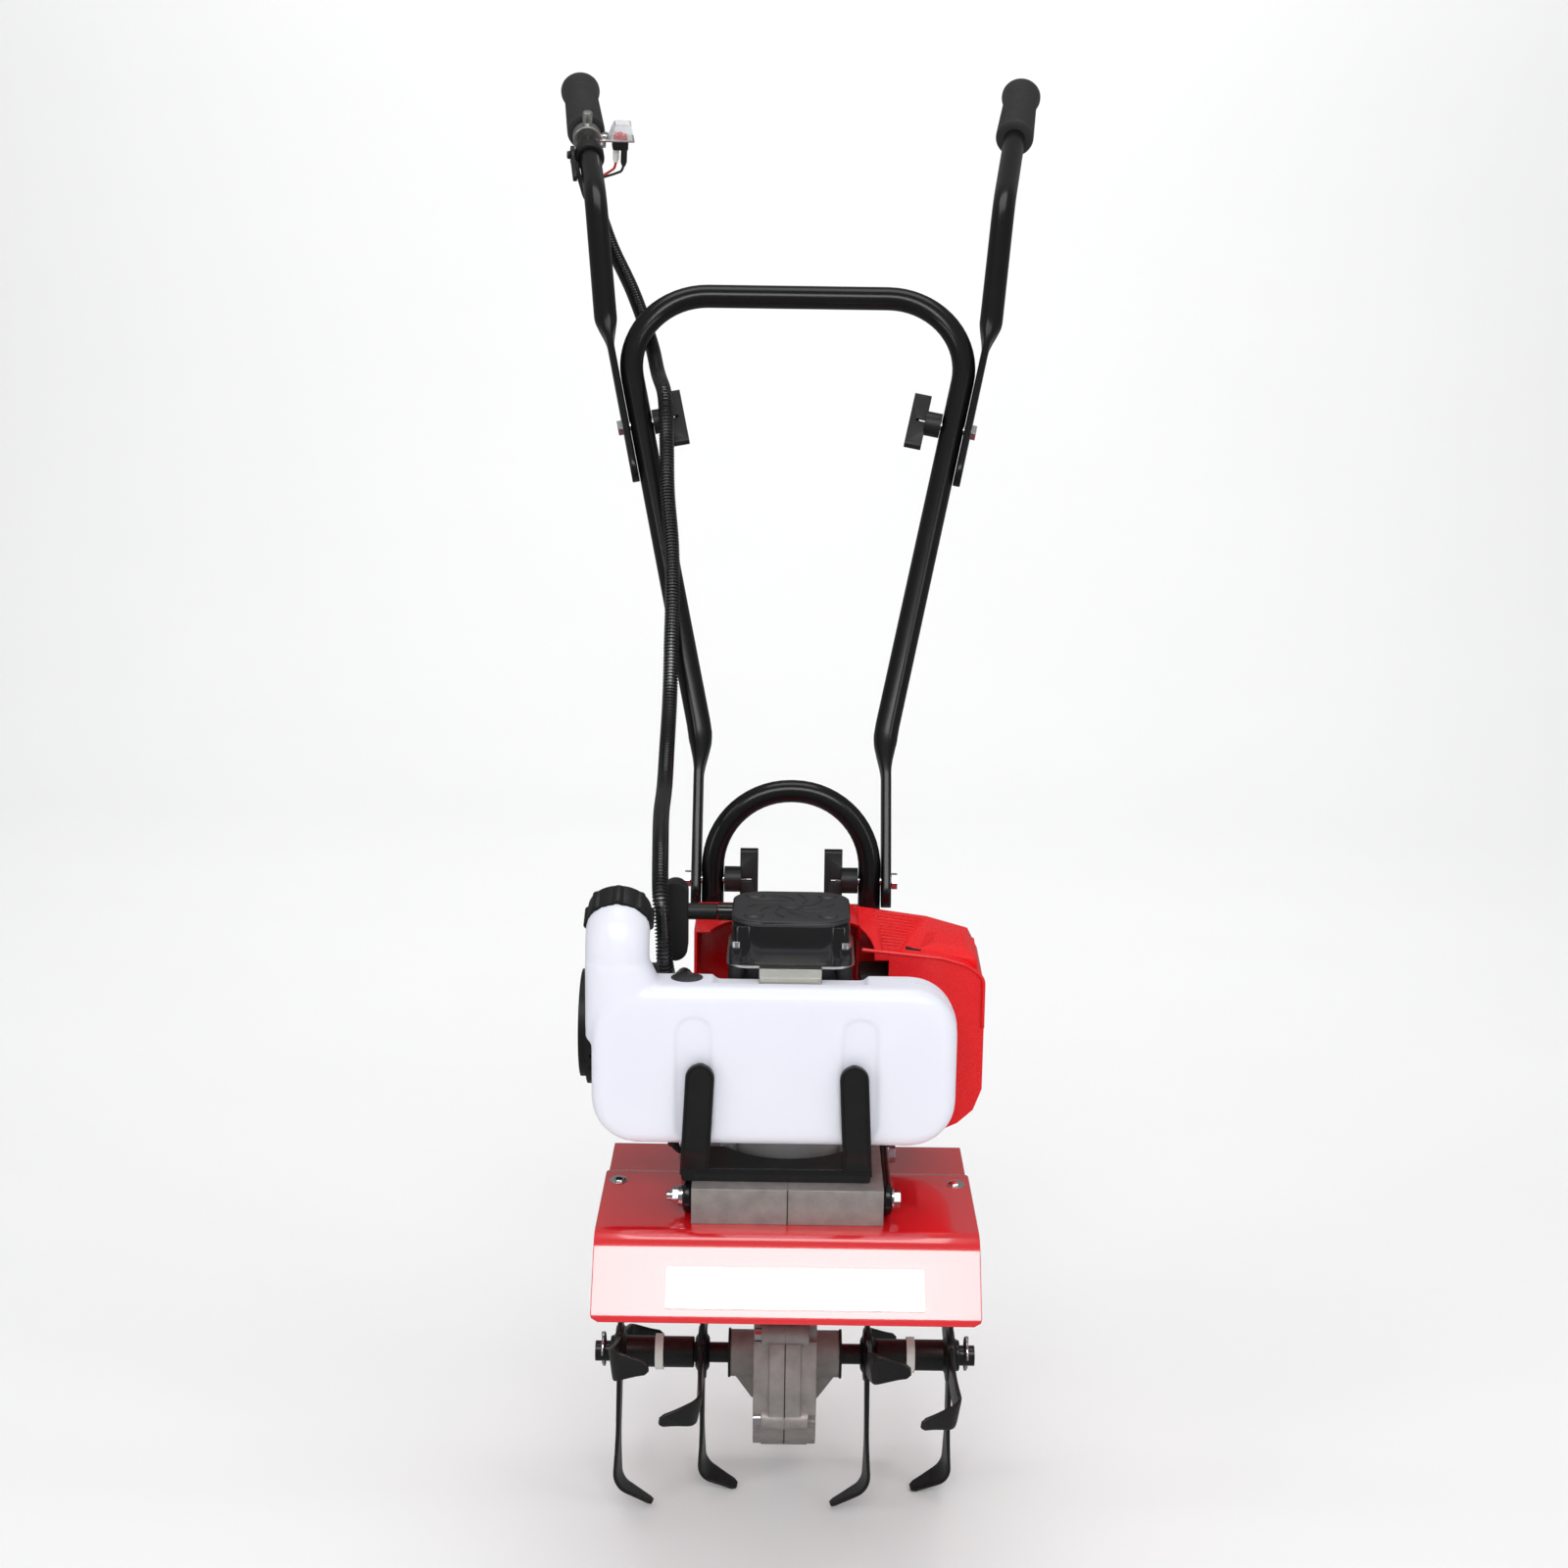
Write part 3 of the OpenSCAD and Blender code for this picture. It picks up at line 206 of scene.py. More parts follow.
SLOT_FINISH = {
    "cast_alloy": CAST, "zinc": ZINC, "bearing_steel": STEEL, "seal_rubber": RUBBER, "red_paint": RED_PAINT,
    "red_plastic": RED_PLASTIC, "black_plastic": BLACK_PLASTIC, "black_gloss": BLACK_GLOSS,
    "tank_plastic": TANK, "black_paint": BLACK_PAINT, "dark_steel": HOT_STEEL, "cable_rubber": SLEEVE,
    "grip_rubber": GRIP, "bronze": BRONZE, "white_nylon": NYLON, "filter_foam": FOAM, "clear_hose": HOSE,
    "red_rocker": RED_ROCKER,
}
FINISH = {part["node"]: SLOT_FINISH[part["material_slot"]] for part in frame["record"]["subparts"]}
FINISH.update({"clutch_housing": CAST_LIGHT, "crankcase": CAST_LIGHT, "cylinder": CAST_LIGHT,
               "carburetor": CAST_LIGHT, "starter_plate": ZINC_PLATE, "tine_shaft": TINE_PAINT,
               "shaft_clips": CHROME, "fender_screws": CHROME, "housing_screws": CHROME})
for node_name, node_object in frame["nodes"].items():
    node_object.data.materials.clear()
    node_object.data.materials.append(FINISH[node_name])


# ---------- mesh helpers ----------
def loose(name, solid, outward=True):
    """Object of a solid's vertices and faces, in the scene but on no body yet."""
    mesh = bpy.data.meshes.new(name)
    mesh.from_pydata([tuple(v) for v in solid[0]], [], solid[1])
    if outward:
        face_out(mesh)
    piece = bpy.data.objects.new(name, mesh)
    bpy.context.scene.collection.objects.link(piece)
    return piece


def face_out(mesh, flatten=False):
    """Turns every face outward; flatten first joins what a CAD mesh splits."""
    bm = bmesh.new()
    bm.from_mesh(mesh)
    if flatten:
        bmesh.ops.remove_doubles(bm, verts=bm.verts, dist=1e-5)
        bmesh.ops.dissolve_limit(bm, angle_limit=math.radians(1.5), verts=bm.verts, edges=bm.edges)
    bmesh.ops.recalc_face_normals(bm, faces=bm.faces)
    bm.to_mesh(mesh)
    bm.free()


def shaded(mesh, angle):
    """Smooth shading, broken at edges sharper than angle."""
    mesh.shade_smooth()
    mesh.set_sharp_from_angle(angle=math.radians(angle))


def made(name, verts, faces, mat, body, smooth=True, stands_for=(), angle=40):
    """Piece of a solid, with its material, that rides on a body."""
    piece = loose(name, (verts, faces))
    piece.data.materials.append(mat)
    if smooth:
        shaded(piece.data, angle)
    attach(piece, body)
    if stands_for:
        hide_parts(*stands_for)
    return piece


def skin(rings, caps=True):
    """Vertices and faces of closed rings joined one to the next."""
    n = len(rings[0])
    verts = [v for ring in rings for v in ring]
    faces = []
    for i in range(len(rings) - 1):
        for k in range(n):
            k2 = (k + 1) % n
            faces.append((i * n + k, i * n + k2, (i + 1) * n + k2, (i + 1) * n + k))
    if caps:
        faces.append(tuple(range(n - 1, -1, -1)))
        faces.append(tuple(range((len(rings) - 1) * n, len(rings) * n)))
    return verts, faces


def merged(*solids):
    """Several solids as one."""
    verts, faces = [], []
    for v, f in solids:
        base = len(verts)
        verts += list(v)
        faces += [tuple(i + base for i in face) for face in f]
    return verts, faces


def moved(solid, place):
    """The solid with every vertex moved by the function place."""
    return [place(v) for v in solid[0]], solid[1]


def oval(centre, u, v, half_u, half_v, power=2.0, sides=24):
    """Ring round centre: an ellipse at power 2, nearer a rounded box above it."""
    ring = []
    for k in range(sides):
        a = 2 * math.pi * (k + 0.5) / sides
        c, s = math.cos(a), math.sin(a)
        ring.append(centre + u * (half_u * math.copysign(abs(c) ** (2 / power), c))
                    + v * (half_v * math.copysign(abs(s) ** (2 / power), s)))
    return ring


def round_cornered(low, high, radius, steps, place):
    """Ring round a rectangle with round corners; place turns its two coordinates into a point."""
    ring = []
    for right, top, start in ((1, 1, 0), (0, 1, 90), (0, 0, 180), (1, 0, 270)):
        for k in range(steps + 1):
            q = math.radians(start + 90 * k / steps)
            ring.append(place((high[0] - radius if right else low[0] + radius) + radius * math.cos(q),
                              (high[1] - radius if top else low[1] + radius) + radius * math.sin(q)))
    return ring


def transported(path, first):
    """Tangent and two cross directions at each point, carried along without twist from first."""
    out, u = [], first
    for i, p in enumerate(path):
        t = (path[min(i + 1, len(path) - 1)] - path[max(i - 1, 0)]).normalized()
        u = (u - t * u.dot(t)).normalized()
        out.append((t, u, t.cross(u)))
    return out


def bent(points, radii, step=6):
    """Corner points with a bend of the given radius at each inner one."""
    path = [points[0]]
    for i in range(1, len(points) - 1):
        a, b = (points[i] - points[i - 1]).normalized(), (points[i + 1] - points[i]).normalized()
        turn = math.acos(max(-1, min(1, a.dot(b))))
        n = (b - a * a.dot(b)).normalized()
        centre = points[i] - a * radii[i] * math.tan(turn / 2) + n * radii[i]
        count = max(3, math.ceil(math.degrees(turn) / step))
        for k in range(count + 1):
            q = turn * k / count
            path.append(centre + radii[i] * (a * math.sin(q) - n * math.cos(q)))
    path.append(points[-1])
    return path


def filled(path, gap):
    """The path with extra points, so that none are further apart than gap."""
    out = [path[0]]
    for a, b in zip(path, path[1:]):
        count = max(1, math.ceil((b - a).length / gap))
        out += [a + (b - a) * (k / count) for k in range(1, count + 1)]
    return out


def tube(path, radius, first=Vector((0.3, 0.2, 0.93)), sides=16):
    """Round tube along a path; radius is a number or a function of the ring's index."""
    rings = []
    for i, (p, (t, u, v)) in enumerate(zip(path, transported(path, first))):
        r = radius(i) if callable(radius) else radius
        rings.append(oval(p, u, v, r, r, 2.0, sides))
    return skin(rings)


def lathe(profile, origin, axis, sides=48):
    """Turned shape: profile is a list of (radius, distance along axis)."""
    axis = axis.normalized()
    side = axis.orthogonal().normalized()
    other = axis.cross(side)
    rings = []
    for r, z in profile:
        rings.append([origin + axis * z + (side * math.cos(2 * math.pi * k / sides)
                      + other * math.sin(2 * math.pi * k / sides)) * max(r, 1e-5) for k in range(sides)])
    return skin(rings)


def softened(node, width, body, mat=None, segments=3):
    """Copy of a CAD node with really rounded edges, which stands for it."""
    mesh = frame["nodes"][node].data.copy()
    face_out(mesh, flatten=True)
    piece = bpy.data.objects.new(node + "_rounded", mesh)
    bpy.context.scene.collection.objects.link(piece)
    mesh.materials.clear()
    mesh.materials.append(mat or FINISH[node])
    bevel = piece.modifiers.new("edges", "BEVEL")
    bevel.width = width
    bevel.segments = segments
    bevel.limit_method = "ANGLE"
    bevel.angle_limit = math.radians(28)
    bevel.use_clamp_overlap = True
    bevel.harden_normals = False
    apply_modifiers(piece)
    shaded(piece.data, 35)
    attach(piece, body)
    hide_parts(node)


def apply_modifiers(piece):
    """Makes the result of a piece's modifiers its own mesh."""
    graph = bpy.context.evaluated_depsgraph_get()
    result = bpy.data.meshes.new_from_object(piece.evaluated_get(graph), depsgraph=graph)
    piece.modifiers.clear()
    piece.data = result


def block(low, high):
    """Box between two corners."""
    xs, ys, zs = zip(low, high)
    verts = [Vector((x, y, z)) for x in xs for y in ys for z in zs]
    faces = [(0, 1, 3, 2), (4, 6, 7, 5), (0, 4, 5, 1), (2, 3, 7, 6), (0, 2, 6, 4), (1, 5, 7, 3)]
    return verts, faces


def fused(name, solids, holes, mat, body, voxel, rounds, stands_for=()):
    """Solids joined and cut by holes, then remeshed and smoothed so that every edge flows."""
    base = loose(name, solids[0])
    extra = []
    for shape, operation in [(s, "UNION") for s in solids[1:]] + [(h, "DIFFERENCE") for h in holes]:
        other = loose("cutter", shape)
        extra.append(other)
        combine(base, other, operation)
    grid = base.modifiers.new("grid", "REMESH")
    grid.mode = "VOXEL"
    grid.voxel_size = voxel
    relax = base.modifiers.new("relax", "SMOOTH")
    relax.factor = 0.5
    relax.iterations = rounds
    apply_modifiers(base)
    for ob in extra:
        bpy.data.objects.remove(ob)
    base.data.materials.clear()
    base.data.materials.append(mat)
    base.data.shade_smooth()
    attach(base, body)
    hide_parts(*stands_for)


def combine(piece, other, operation):
    """Adds an exact boolean of the other object to a piece."""
    step = piece.modifiers.new("join", "BOOLEAN")
    step.operation = operation
    step.object = other
    step.solver = "EXACT"


def cut(piece, low, high):
    """Cuts a box-shaped hole through a piece."""
    other = loose("hole", block(low, high))
    combine(piece, other, "DIFFERENCE")
    apply_modifiers(piece)
    bpy.data.objects.remove(other)


def crossing(name, solid, mat, stands_for=()):
    """Piece fixed in place on no body, with its material; it stands for the listed nodes."""
    piece = loose(name, solid, outward=False)
    piece.data.materials.append(mat)
    shaded(piece.data, 60)
    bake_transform(piece)
    if stands_for:
        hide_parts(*stands_for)


# ---------- camera, light and stage ----------
camera_data = bpy.data.cameras.new("camera")
camera_data.sensor_width = 36
camera_data.lens = 54
camera_data.clip_end = 50
CAMERA_PITCH = math.radians(90 - 12.5)
CAMERA_ROLL = math.radians(0.8)
camera = bpy.data.objects.new("camera", camera_data)
bpy.context.scene.collection.objects.link(camera)
camera.location = (-0.0075, -2.159, 1.032)
camera.rotation_euler = (Matrix.Rotation(CAMERA_PITCH, 3, "X")
                         @ Matrix.Rotation(CAMERA_ROLL, 3, "Z")).to_euler()
bpy.context.scene.camera = camera


def softbox(name, place, target, size, power):
    """Rectangular light at place, turned to target."""
    data = bpy.data.lights.new(name, "AREA")
    data.shape = "RECTANGLE"
    data.size, data.size_y = size
    data.energy = power
    ob = bpy.data.objects.new(name, data)
    bpy.context.scene.collection.objects.link(ob)
    ob.location = place
    ob.rotation_euler = (Vector(target) - Vector(place)).to_track_quat("-Z", "Y").to_euler()
    return ob


softbox("key_box", (0.0, -2.3, 1.75), (0, -0.2, 0.45), (1.4, 0.7), 17).visible_glossy = False
softbox("fill_box", (0.0, -2.4, 0.55), (0, -0.3, 0.3), (1.6, 0.5), 4.5).visible_glossy = False
softbox("top_box", (0.0, 0.1, 2.9), (0, 0, 0.6), (1.6, 1.1), 13)
softbox("back_box", (0.0, 1.2, 3.4), (0, 3.6, 1.0), (3.4, 0.6), 60).visible_glossy = False
softbox("left_box", (-2.0, -1.5, 1.5), (0, 0, 0.6), (0.3, 1.8), 7)
softbox("right_box", (2.0, -1.5, 1.5), (0, 0, 0.6), (0.3, 1.8), 7)
# Card seen only by the glossy flap, walls and tubes
softbox("flap_card", (0.0, -1.66, 1.83), (0, -0.42, 0.24), (2.0, 0.66), 25).visible_diffuse = False
world = bpy.data.worlds.new("studio")
bpy.context.scene.world = world
world.use_nodes = True
sky = world.node_tree
backdrop = sky.nodes["Background"]
backdrop.inputs["Color"].default_value = (0.98, 0.985, 1.0, 1)
# Darker to reflections, so that black paint stays black
ray = sky.nodes.new("ShaderNodeLightPath")
level = sky.nodes.new("ShaderNodeMath")
level.operation = "MULTIPLY_ADD"
sky.links.new(ray.outputs["Is Glossy Ray"], level.inputs[0])
level.inputs[1].default_value = -0.3
level.inputs[2].default_value = 0.5
sky.links.new(level.outputs[0], backdrop.inputs["Strength"])
bpy.context.scene.view_settings.view_transform = "Standard"

floor_mat = finish_of("studio_floor", (0.93, 0.93, 0.93), (0.9, 0.9, 0.9), 0.7, spread=2,
                      grain=(60, 0.02))
# Flat floor that sweeps up into a back wall
BACK_Y, SWEEP_R, WALL_TOP, HALF_WIDTH = 2.2, 1.4, 5.0, 5.0
floor_line = [(-4.0, 0.0), (BACK_Y, 0.0)]
floor_line += [(BACK_Y + SWEEP_R * math.sin(a), SWEEP_R - SWEEP_R * math.cos(a))
               for a in [math.radians(9 * k) for k in range(1, 11)]]
floor_line.append((BACK_Y + SWEEP_R, WALL_TOP))
floor_verts = [(x, y, z) for y, z in floor_line for x in (-HALF_WIDTH, HALF_WIDTH)]
floor_faces = [(2 * i, 2 * i + 1, 2 * i + 3, 2 * i + 2) for i in range(len(floor_line) - 1)]
floor = loose("floor", (floor_verts, floor_faces), outward=False)
floor.data.materials.append(floor_mat)
floor.data.shade_smooth()
floor.visible_glossy = False

# ---------- folding handle ----------
UP = Vector((0, math.sin(LEAN), math.cos(LEAN)))
FRONT = Vector((0, -math.cos(LEAN), math.sin(LEAN)))
HINGE_X = BEND_X + SLOPE * (FOLD_S - BEND_S)


def plane(x, s):
    """A point of the handle's folding plane, s up it from the fold's axis."""
    return m(x, PIVOT_Y, PIVOT_Z) + UP * s / 1000


def eased(t):
    """Smooth step from 0 to 1."""
    t = max(0.0, min(1.0, t))
    return t * t * (3 - 2 * t)


def mixed(a, b, t):
    """Smooth change from a to b."""
    return a + (b - a) * eased(t)


def flat_rings(path, first, section):
    """Rings along a path; section(i, p) gives (half across, half along the first direction, power)."""
    rings = []
    for i, (p, (t, u, v)) in enumerate(zip(path, transported(path, first))):
        half_v, half_u, power = section(i, p)
        rings.append(oval(p, u, v, half_u, half_v, power, 28))
    return rings


def rounded_end(half, past, reach):
    """Half width at past beyond the start of a rounded end, which is reach long."""
    return half * math.sqrt(max(0.02, 1 - (max(0.0, past) / reach) ** 2))


TUBE_R, ARCH_R = 11, 10


def leg_section(i, p):
    """The middle frame's section: flattened at its feet and round from there up."""
    s = (p - plane(0, 0)).dot(UP) * 1000
    t = (s - 96) / 40
    half_w = rounded_end(mixed(14.5, TUBE_R, t), -10.5 - s, 13.6)
    return mixed(4.6, TUBE_R, t) / 1000, half_w / 1000, mixed(3.6, 2.0, t)


leg_path = bent([plane(-84.8, -24), plane(-84.8, 96), plane(-BEND_X, BEND_S),
                 plane(-BEND_X - SLOPE * (FRAME_S - BEND_S), FRAME_S),
                 plane(BEND_X + SLOPE * (FRAME_S - BEND_S), FRAME_S), plane(BEND_X, BEND_S),
                 plane(84.8, 96), plane(84.8, -24)], [0, 0.1, 0.12, 0.072, 0.072, 0.12, 0.1, 0])
made("middle_frame_tube", *skin(flat_rings(filled(leg_path, 0.004), FRONT, leg_section)), BLACK_PAINT,
     "frame", stands_for=("middle_frame",))

ARCH_UP = Vector((0, math.sin(math.radians(5)), math.cos(math.radians(5))))
arch_corner = m(70, PIVOT_Y, PIVOT_Z)
STRIP_Z = FENDER_Z + 14


def arch_side(side):
    """Half of the arch from its flattened end to the middle of the crown."""
    points = [m(82, -54, STRIP_Z), m(82, 108, STRIP_Z), m(72, PIVOT_Y - 17, STRIP_Z),
              arch_corner - ARCH_UP * 0.13, arch_corner + ARCH_UP * 0.08,
              Vector((0, arch_corner.y, arch_corner.z)) + ARCH_UP * 0.08]
    path = filled(bent(points, [0, 0.06, 0.038, 0.3, 0.069, 0]), 0.004)
    rings = []
    for p, (t, u, v) in zip(path, transported(path, X_WAY)):
        y = p.y * 1000 - AXLE_Y
        if p.z * 1000 < STRIP_Z + 8 and y < 140:
            t = (y - 100) / 34
            half_x, power = mixed(3.6, ARCH_R, t), mixed(3.6, 2, t)
            half_z = rounded_end(mixed(13, ARCH_R, t), -41 - y, 13.2)
        else:
            half_x, half_z, power = ARCH_R, ARCH_R, 2
        rings.append(oval(p, u, v, half_x / 1000, half_z / 1000, power, 28))
    if side < 0:
        rings = [[Vector((-q.x, q.y, q.z)) for q in ring] for ring in rings]
    return skin(rings)


made("arch_tube", *merged(arch_side(1), arch_side(-1)), BLACK_PAINT, "chassis", stands_for=("handle_arch",))

ELBOW, GRIP_END = Vector((198.5, 504, 1091)), Vector((233.5, 740, 1207))
GRIP_DIR = (GRIP_END - ELBOW).normalized()


def sided(v, side):
    """The vector on the left (-1) or the right (1)."""
    return Vector((v.x * side, v.y, v.z))


def upper_handle(side):
    """Upper handle: flattened at its foot, round from there to its grip."""
    leg = (UP * math.cos(TILT) + Vector((math.sin(TILT), 0, 0))).normalized()
    out = (Vector((math.cos(TILT), 0, 0)) - UP * math.sin(TILT)).normalized()
    foot = plane(HINGE_X, FOLD_S) + out * 0.0148
    points = [foot - leg * 0.056, foot + leg * 0.114, m(*ELBOW), m(*(GRIP_END - GRIP_DIR * 4))]
    path = filled(bent(points, [0, 0.1, 0.07, 0]), 0.004)
    rings = []
    for p, (t, u, v) in zip(path, transported(path, FRONT)):
        s = (p - foot).dot(leg) * 1000
        t2 = (s - 86) / 30 if (p - foot).length < 0.16 else 1
        half_t, power = mixed(3.5, TUBE_R, t2), mixed(4, 2, t2)
        half_w = rounded_end(mixed(15, TUBE_R, t2), -41 - s, 15.2)
        rings.append([sided(q, side) for q in oval(p, u, v, half_w / 1000, half_t / 1000, power, 28)])
    return skin(rings)


made("upper_handle_left", *upper_handle(-1), BLACK_PAINT, "left_bar", stands_for=("handle_left",))
made("upper_handle_right", *upper_handle(1), BLACK_PAINT, "right_bar", stands_for=("handle_right",))


# Grips: fine ribs between a plain collar and a flared flange
def grip_profile():
    """Barrel-shaped grip, fattest by its rounded collar."""
    out = [(11.1, 0), (15.6, 0), (17.7, 0.7), (18.9, 2.2), (19.3, 4.4), (18.6, 6.0)]
    z = 7.4
    while z < 92:
        base = 18.5 - 1.9 * (z - 7.4) / 85
        out += [(base, z), (base + 0.8, z + 0.8), (base + 0.8, z + 1.7), (base, z + 2.4)]
        z += 3.1
    out += [(17.2, 95), (18.4, 99.5), (19.9, 104.6), (20.4, 107.5), (20.4, 110.6), (19.6, 112), (12.5, 112),
            (11.2, 110.8), (0.02, 110.8)]
    return [(r / 1000, z / 1000) for r, z in out]


for side, body, node in ((-1, "left_bar", "grip_left"), (1, "right_bar", "grip_right")):
    axis = sided(GRIP_DIR, side)
    origin = sided(m(*GRIP_END), side) - axis * GRIP_L / 1000
    made(node + "_rubber", *lathe(grip_profile(), origin, axis, 56), GRIP, body, stands_for=(node,),
         angle=50)

# ---------- knobs ----------
for node, body in (("lower_knob_left", "knob_lower_left"), ("lower_knob_right", "knob_lower_right"),
                   ("upper_knob_left", "knob_upper_left"), ("upper_knob_right", "knob_upper_right")):
    softened(node, 0.0022, body, BLACK_PLASTIC)

# ---------- fuel tank ----------
TANK_MID = Vector((-12.5, -28, 398.5))
TANK_TOP = 465


def rounded_slab(centre, half, corner, edge):
    """Slab in the XZ plane with rounded corners, its front and back edges rounded too."""
    rings = []
    rounding = [math.pi / 2 * k / 8 for k in range(9)]
    for way, turn in [(-1, q) for q in rounding] + [(1, q) for q in rounding[::-1]]:
        y = way * (half[1] - edge * (1 - math.cos(turn)))
        inset = edge * (1 - math.sin(turn))
        r = max(1.0, corner - inset)
        ring = []
        for quarter, (sx, sz) in enumerate(((1, 1), (-1, 1), (-1, -1), (1, -1))):
            for q in range(9):
                a = math.pi / 2 * (quarter + q / 8)
                ring.append(m(*centre) + Vector((sx * (half[0] - inset - r) + r * math.cos(a), y,
                                                 sz * (half[2] - inset - r) + r * math.sin(a))) / 1000)
        rings.append(ring)
    return skin(rings)


CAP_TILT = math.radians(62)
CAP_AXIS = Vector((0, math.sin(CAP_TILT), math.cos(CAP_TILT)))
NECK, NECK_R = m(-140, -14.6, 505), 0.026
elbow = NECK - CAP_AXIS * 0.014
TANK_HALF, TANK_CORNER = (147.5, 27, 66.5), 38
tank_body = rounded_slab(TANK_MID, TANK_HALF, TANK_CORNER, 12)
neck_path = bent([Vector((elbow.x, elbow.y, 0.415)), elbow, NECK - CAP_AXIS * 0.0005], [0, 0.016, 0], 8)
neck_path = filled(neck_path, 0.012)
neck_rings = [oval(p, u, v, NECK_R, NECK_R, 2, 40)
              for p, (t, u, v) in zip(neck_path, transported(neck_path, X_WAY))]
# Shoulder that flows from the neck down into the body
shoulder = skin([oval(m(-166 + 1000 * w, -28, z), X_WAY, Y_WAY, w, 0.0262, 2.4, 40)
                 for z, w in ((425, 0.036), (452, 0.0335), (466, 0.0295), (480, 0.0262))])
step_cut = skin([[m(x * w, y, TANK_TOP - 6 + lift) for x, y in ((-60, -34), (60, -34), (60, 6), (-60, 6))]
                 for w, lift in ((1, 0), (1.1, 12))])


RECESS_R, RECESS_LOW, RECESS_HIGH = 14.5, 352, 427


def stadium_cut(x):
    """Upright recess in the tank's front, where a bracket arm lies."""
    rings = []
    for y, grow in ((-70, 3.2), (-56, 1.6), (-53.6, 0.4), (-52.6, -1.5)):
        r = RECESS_R + grow
        rings.append([m(x + r * math.cos(a), y,
                        (RECESS_HIGH if math.sin(a) > 0 else RECESS_LOW) + r * math.sin(a))
                      for a in [2 * math.pi * k / 24 for k in range(24)]])
    return skin(rings)


fused("tank_shell", [tank_body, skin(neck_rings), shoulder], [stadium_cut(-77), stadium_cut(57), step_cut],
      TANK, "chassis", 0.0018, 6, stands_for=("fuel_tank",))
softened("fuel_cap", 0.0014, "filler_cap", BLACK_PLASTIC)

# Blow-moulded parting seam, and the blank round label on the tank's top
seam = []
for k in range(33):
    a = math.pi / 2 - math.pi * k / 32
    seam.append(m(TANK_MID.x + TANK_HALF[0] - TANK_CORNER + TANK_CORNER * math.cos(a), TANK_MID.y,
                  TANK_MID.z + math.copysign(TANK_HALF[2] - TANK_CORNER, math.sin(a))
                  + TANK_CORNER * math.sin(a)))
made("tank_seam", *tube(seam, 0.0006, Y_WAY, 8), TANK, "chassis")
made("tank_label", *lathe([(0.013, -0.0003), (0.013, 0.0003), (0.0126, 0.0005), (0.0, 0.0005)],
                          m(-84, -22, 465), Z_WAY, 40), LABEL_DARK, "chassis")

# Fuel outlet: grommet, hose loop and clip under the tank's left end
hose = [m(-94, -30, 336), m(-94, -30, 324), m(-88, -24, 316), m(-76, -8, 315), m(-70, 14, 322),
        m(-71, 48, 336), m(-75, 78, 352), m(-79, 92, 370)]
made("hose_loop", *tube(filled(bent(hose, [0, .008, .012, .02, .03, .03, .02, 0]), 0.003), 0.0028),
     RUBBER, "chassis")
made("outlet_grommet", *lathe([(0.004, 0), (0.0075, 0), (0.0085, 0.002), (0.0085, 0.005), (0.0055, 0.007),
                               (0.0045, 0.012), (0.003, 0.012)], m(-94, -30, 336), Vector((0, 0, -1)), 32),
     RUBBER, "chassis")
made("hose_clip", *lathe([(0.0031, 0), (0.0042, 0), (0.0042, 0.005), (0.0031, 0.005)],
                         m(-94, -30, 329), Vector((0, 0, -1)), 24), ZINC, "chassis")

# Tank bracket: two arms with raised rims, and a plate cut clear of the clutch housing
BRACKET_X, BAR_HALF = -9.7, 11.75


def bracket_arm(side):
    """One arm of the bracket, and the rim round its front face."""
    path = filled(bent([m(BRACKET_X + 61.5 * side, -58.7, 404), m(BRACKET_X + 65.2 * side, -58.7, 330),
                        m(BRACKET_X + 67 * side, -41, 304)],
                       [0, 0.012, 0]), 0.002)
    rings, rim_left, rim_right = [], [], []
    for p, (t, u, v) in zip(path, transported(path, X_WAY)):
        drop = (path[0] - p).length * 1000
        half = BAR_HALF * math.sqrt(max(0.03, 1 - max(0.0, (BAR_HALF - drop) / BAR_HALF) ** 2))
        rings.append(oval(p, u, v, half / 1000, 0.0030, 7, 28))
        if p.z > m(0, 0, 318).z:
            out = v if v.y < 0 else -v
            inner = max(0.4, half - 1.3)
            rim_left.append(p - u * inner / 1000 + out * 0.0031)
            rim_right.append(p + u * inner / 1000 + out * 0.0031)
    rim = rim_left[::-1] + rim_right
    return skin(rings), tube(rim, 0.0012, Y_WAY, 8)


bracket_solids = [shape for side in (-1, 1) for shape in bracket_arm(side)]
cut_angles = [math.radians(-37.3 - 105.4 * k / 24) for k in range(25)]
outline = [(-86.7, 12), (-86.7, -44), (-82.7, -48), (63.3, -48), (67.3, -44), (67.3, 12)]
outline += [(66 * math.cos(a), WORM_Y + 66 * math.sin(a)) for a in cut_angles]
bracket_solids.append(skin([[m(x, y, z) for x, y in outline] for z in (302, 307)]))
made("tank_bracket_cast", *merged(*bracket_solids), BLACK_PLASTIC, "chassis", stands_for=("tank_bracket",))
made("bracket_lip", *skin([round_cornered((-86.7, 300.4), (67.3, 311.4), 2, 6, lambda x, z: m(x, y, z))
                           for y in (-48.9, -47.6)]), BLACK_GLOSS, "chassis")
bosses = [lathe([(0.0065, 0), (0.0065, 0.002), (0.004, 0.0032), (0.0, 0.0036)],
                m(BRACKET_X + 60 * side, -40, 307), Z_WAY, 20) for side in (-1, 1)]
made("bracket_screws", *merged(*bosses), BLACK_PLASTIC, "chassis")


# ---------- fender ----------
SHEET_THICK = 1.5


